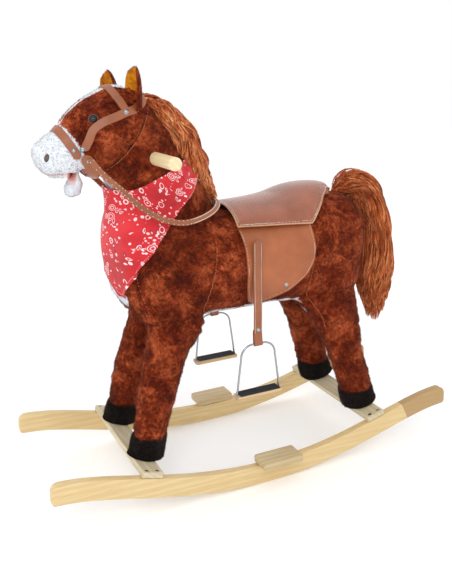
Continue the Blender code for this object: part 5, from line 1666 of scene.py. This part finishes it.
def make_ears():
    tall, wide = 26, 19
    heights, across = np.linspace(0.0, 1.0, tall), np.linspace(-1.0, 1.0, wide)
    half = softened(np.interp(heights, EAR_HEIGHTS, EAR_HALF_WIDTHS)[:, None], 1)[:, 0]
    rim = rim_of(tall, wide)
    rim = rim[:1] + rim[:0:-1]
    faces = pad_faces(tall, wide, rim)
    cells = (tall - 1) * (wide - 1)
    faces[:cells * 2] = [(a, d, c, b) for a, b, c, d in faces[:cells * 2]]
    for name, side in SIDES.items():
        x, tilt, round_ = EARS[name]
        frame_of = (
            Matrix.Translation((x, side * 0.041, 0.775))
            @ Matrix.Rotation(math.radians(-side * tilt), 4, "X")
            @ Matrix.Rotation(math.radians(round_), 4, "Z")
        )
        front, back = [], []
        for t, w in zip(heights, half):
            curl = math.radians(78.0 - 20.0 * t)
            radius = w / math.sin(curl)
            for u in across:
                c, s = math.cos(u * curl), math.sin(u * curl)
                ahead = 0.0085 - radius * (1 - c) - 0.008 * t**3
                inner = Vector((ahead, radius * s, -0.008 + 0.0740 * t - 0.004 * u**2 * t))
                thick = 0.0052 * (1.0 - 0.45 * t) * math.sqrt(max(1.0 - u**2, 0.0)) + 0.0010
                front.append(np.array(frame_of @ inner))
                back.append(np.array(frame_of @ (inner + Vector((c, s, 0.0)) * thick)))
        mesh = open_mesh(f"ear_{name}", front + back, faces)
        for i in range(cells):
            t, u = heights[i // (wide - 1)], across[i % (wide - 1)]
            lined = abs(u) < 0.90 and 0.34 - 0.10 * u * side < t < 0.97
            mesh.polygons[i * 2].material_index = int(lined)
        mesh = with_modifiers(facing_out(mesh), ("SUBSURF", {"levels": 1, "render_levels": 1}))
        index = np.array([f.material_index for f in mesh.polygons], np.int32)
        ear = piece(f"ear_plush_{name}", mesh, ("plush", "gold"),
                    replaces=(f"ear_{name}",))
        mesh.polygons.foreach_set("material_index", index)
        gold = np.zeros(len(mesh.vertices), bool)
        for face in mesh.polygons:
            if face.material_index:
                gold[list(face.vertices)] = True
        places, normals, nearest = scattered(mesh, 5200, 77)
        upward = np.array(frame_of.to_3x3() @ Vector((0.0, 0.0, 1.0)))
        golden = gold[nearest]
        for chosen, label, look in ((~golden, "back", "plush"), (golden, "lining", "gold")):
            roots = (places[chosen], normals[chosen], crushed(places[chosen]) * 0.6)
            flow = np.tile(upward, (len(roots[0]), 1))
            pile(f"ear_{label}_{name}", roots, flow, 0.0036, 0.00042, 78, look,
                 lean=0.25)


def rocker_rise(x):
    return 0.5518 * x**2 - 0.0953 * x**4 - 3.904 * x**6


def rocker_slope(x):
    return math.atan(1.1036 * x - 0.3812 * x**3 - 23.424 * x**5)


ROCKER_FLAT = 0.015
ROCKER_REACH = 0.46
ROCKER_TIP = 0.016
ROCKER_DEPTH = 0.0416
RAIL_Y = 0.1555
BOARD_X = 0.266


def rocker_edge(x, offset):
    """The (x, z) of a point that far over the rocker's lower edge."""
    slope = rocker_slope(x)
    lift = rocker_rise(x) - rocker_rise(ROCKER_FLAT)
    return (x - offset * math.sin(slope), lift + offset * math.cos(slope))


BOARD_TOP = rocker_edge(BOARD_X, 0.0)[1] + (ROCKER_DEPTH + 0.0134) / math.cos(rocker_slope(BOARD_X))


def board_top(x):
    """The height of a cross board's face at x."""
    return BOARD_TOP + math.tan(rocker_slope(BOARD_X)) * (np.abs(x) - BOARD_X)


def make_hooves():
    """Swollen black cuffs standing on the cross boards."""
    for end, leg in zip(ENDS, (FRONT_LEG, REAR_LEG)):
        for name, side in SIDES.items():
            x, y, z, tilt, long, wide = leg[-1]
            drift = (x - leg[-2][0]) / (z - leg[-2][2])
            rings = [
                (x - drift * drop, side * y, 0.1336 - drop, tilt, long * swell, wide * swell)
                for swell, drop in (
                    (1.01, -0.003), (1.07, 0.004), (1.12, 0.020), (1.11, 0.040), (1.10, 0.060),
                )
            ]
            mesh = mesh_of(f"hoof_{end}_{name}", *loft(rings, (0.002, 0.003), 56, 8))
            co, normals = points_of(mesh), normals_of(mesh)
            bumps = rippled(co, 60.0, 0.0013, 8.0) + rippled(co, 150.0, 0.0006, 5.0)
            co += normals * bumps[:, None]
            ground = board_top(co[:, 0]) + 0.0004
            low = np.clip((co[:, 2] - ground) / 0.006, 0.0, 1.0)
            middle = np.array([x + drift * -0.035, side * y])
            co[:, :2] = middle + (co[:, :2] - middle) * (0.955 + 0.045 * np.sqrt(low))[:, None]
            co[:, 2] = np.maximum(co[:, 2], ground)
            set_points(mesh, co)
            hoof = piece(f"hoof_plush_{end}_{name}", mesh, "black",
                         replaces=(f"hoof_{end}_{name}",), angle=70)
            places, normals, _ = scattered(mesh, 9000, 31)
            keep = places[:, 2] > board_top(places[:, 0]) + 0.004
            places, normals = places[keep], normals[keep]
            flow = np.tile(np.array([0.0, 0.0, -1.0]), (len(places), 1))
            flow[:, 0] += rippled(places, 60.0, 1.2, 4.0)
            flow[:, 1] += rippled(places, 60.0, 1.2, 14.0)
            flow[places[:, 2] < 0.112] *= 0.35
            pile(f"hoof_pile_{end}_{name}", (places, normals, crushed(places)), flow, 0.0050,
                 0.00050, 32, "black", lean=0.5)


# --- wooden parts --------------------------------------------------------------------------


def rocker_rail(side):
    """A bent rail with rounded tips and eased edges, as verts and faces."""
    reach = ROCKER_REACH - ROCKER_TIP
    steps = np.linspace(ROCKER_FLAT, reach, 46)
    stations = np.concatenate([-steps[::-1], steps])
    lower = [rocker_edge(x, 0.0) for x in stations]
    upper = [rocker_edge(x, ROCKER_DEPTH) for x in stations]

    def tip(way):
        place, slope = np.array(rocker_edge(way * reach, 0.0)), rocker_slope(way * reach)
        along = way * np.array([math.cos(slope), math.sin(slope)])
        across = np.array([-math.sin(slope), math.cos(slope)])
        corners = (0.008, 0.008, -90), (ROCKER_TIP, ROCKER_DEPTH - ROCKER_TIP, 0)
        points = []
        for radius, height, first in corners:
            for a in np.radians(first + 90 * np.arange(9) / 8):
                out = ROCKER_TIP - radius + radius * math.cos(a)
                points.append(place + along * out + across * (height + radius * math.sin(a)))
        return points

    line = np.array(lower + tip(1)[1:-1] + upper[::-1] + tip(-1)[::-1][1:-1])
    tangents = unit(np.roll(line, -1, 0) - np.roll(line, 1, 0))
    outward = np.stack([tangents[:, 1], -tangents[:, 0]], axis=1)
    half, ease = 0.009, 0.0018
    rows = [(-half, -ease)]
    for a in np.radians((22, 45, 68, 90)):
        rows.append((-half + ease - ease * math.cos(a), -ease + ease * math.sin(a)))
    rows += [(-y, inset) for y, inset in rows[::-1]]
    verts = []
    for y, inset in rows:
        verts.extend((x, side * RAIL_Y + y, z) for x, z in line + outward * inset)
    return verts, capped(len(rows), len(line))


def make_wood():
    for name, side in SIDES.items():
        piece(f"rocker_rail_{name}", [rocker_rail(side)], "rocker",
              replaces=(f"rocker_{name}",), angle=38)
    end = [(0.00005, 0.1602), (0.0060, 0.1602), (0.0105, 0.160), (0.0120, 0.1585)]
    bar = [(radius, -height) for radius, height in end]
    bar += [(0.0120, z) for z in np.linspace(-0.150, 0.150, 25)] + end[::-1]
    piece("handle_dowel", [turned(bar, (-0.190, 0.0, 0.676), (0.0, 1.0, 0.0), 48)], "handle",
          replaces=("handle_bar",), angle=50)
    corners = [f"{end}_{name}" for end in ENDS for name in SIDES]
    for nodes, look in (
        (("cross_board_front", "cross_board_rear"), "board"),
        (("footrest_left", "footrest_right"), "foot"),
        (("body_board", "neck_post", "tail_pin"), "frame"),
        ([f"leg_post_{corner}" for corner in corners], "frame"),
        ([f"screw_{corner}_{k}" for corner in corners for k in (1, 2)], "steel"),
        (("jaw_pin",), "steel"),
    ):
        for node in nodes:
            for material_slot in bpy.data.objects[node].material_slots:
                material_slot.material = LOOKS[look]
    nail = ((0.0013, -0.0006), (0.0014, 0.00015), (0.0008, 0.00025), (0.00005, 0.0001))
    block_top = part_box("footrest_left")[1][2]
    # Thin near-black slivers across each screw head stand for the shade down in its slot: painted
    # shade.
    slot_faces = [(3, 2, 1, 0), (4, 5, 6, 7)]
    slot_faces += [(k, (k + 1) % 4, (k + 1) % 4 + 4, k + 4) for k in range(4)]
    nails, slots = [], []
    for side in SIDES.values():
        for x, y in ((0.0, 0.168), (0.042, 0.170)):
            nails.append(turned(nail, (x, side * y, block_top), (0, 0, 1), 16))
        for end in (-1, 1):
            slope = rocker_slope(BOARD_X) * end
            ahead = np.array([math.cos(slope), 0.0, math.sin(slope)])
            out = np.array([-math.sin(slope), 0.0, math.cos(slope)])
            base = np.array([end * BOARD_X, side * RAIL_Y, BOARD_TOP])
            for shift in (-0.011, 0.011):
                for angle in (35, 125):
                    turn = math.radians(angle + shift * 2000)
                    line = ahead * math.cos(turn) + np.array([0, 1, 0]) * math.sin(turn)
                    beside = np.cross(out, line)
                    corner = ((-1, -1), (1, -1), (1, 1), (-1, 1))
                    verts = [
                        base + ahead * shift + line * a * 0.0021 + beside * b * 0.00038 + out * c
                        for c in (-0.0012, 0.0002) for a, b in corner
                    ]
                    slots.append((verts, slot_faces))
    piece("footrest_nails", nails, "steel", angle=40)
    piece("painted_slot_shades", slots, "slotdark", angle=30)


# --- build ---------------------------------------------------------------------------------

LOOKS = make_looks()
make_camera()
make_studio()
BODY = plush_body()
SKIN = Skin(BODY.data)
make_bridle(SKIN)
make_rein()
make_bandana(SKIN)
make_saddle(SKIN)
make_stirrups()
make_wood()
make_eyes(SKIN)
make_ears()
make_jaw()
make_hooves()
fur("mane", MANE, (0.010, 0.008), HORSE, 0.044, 41, 0.0068)
fur("tail", TAIL, (0.016, 0.024), "tail_body", 0.066, 61, 0.0060)
make_seams(SKIN)
COVERS = ["headstall", "brow_strap", "nose_strap", "throat_strap", "bandana_cloth", "saddle_pad"]
FACE_AND_FLAPS = ("flap", "eye_lid", "eye_ball", "nostril")
COVERS += [f"{part}_{name}" for part in FACE_AND_FLAPS for name in SIDES]
make_pile(BODY, [bpy.data.objects[name] for name in (*COVERS, "handle_dowel")])
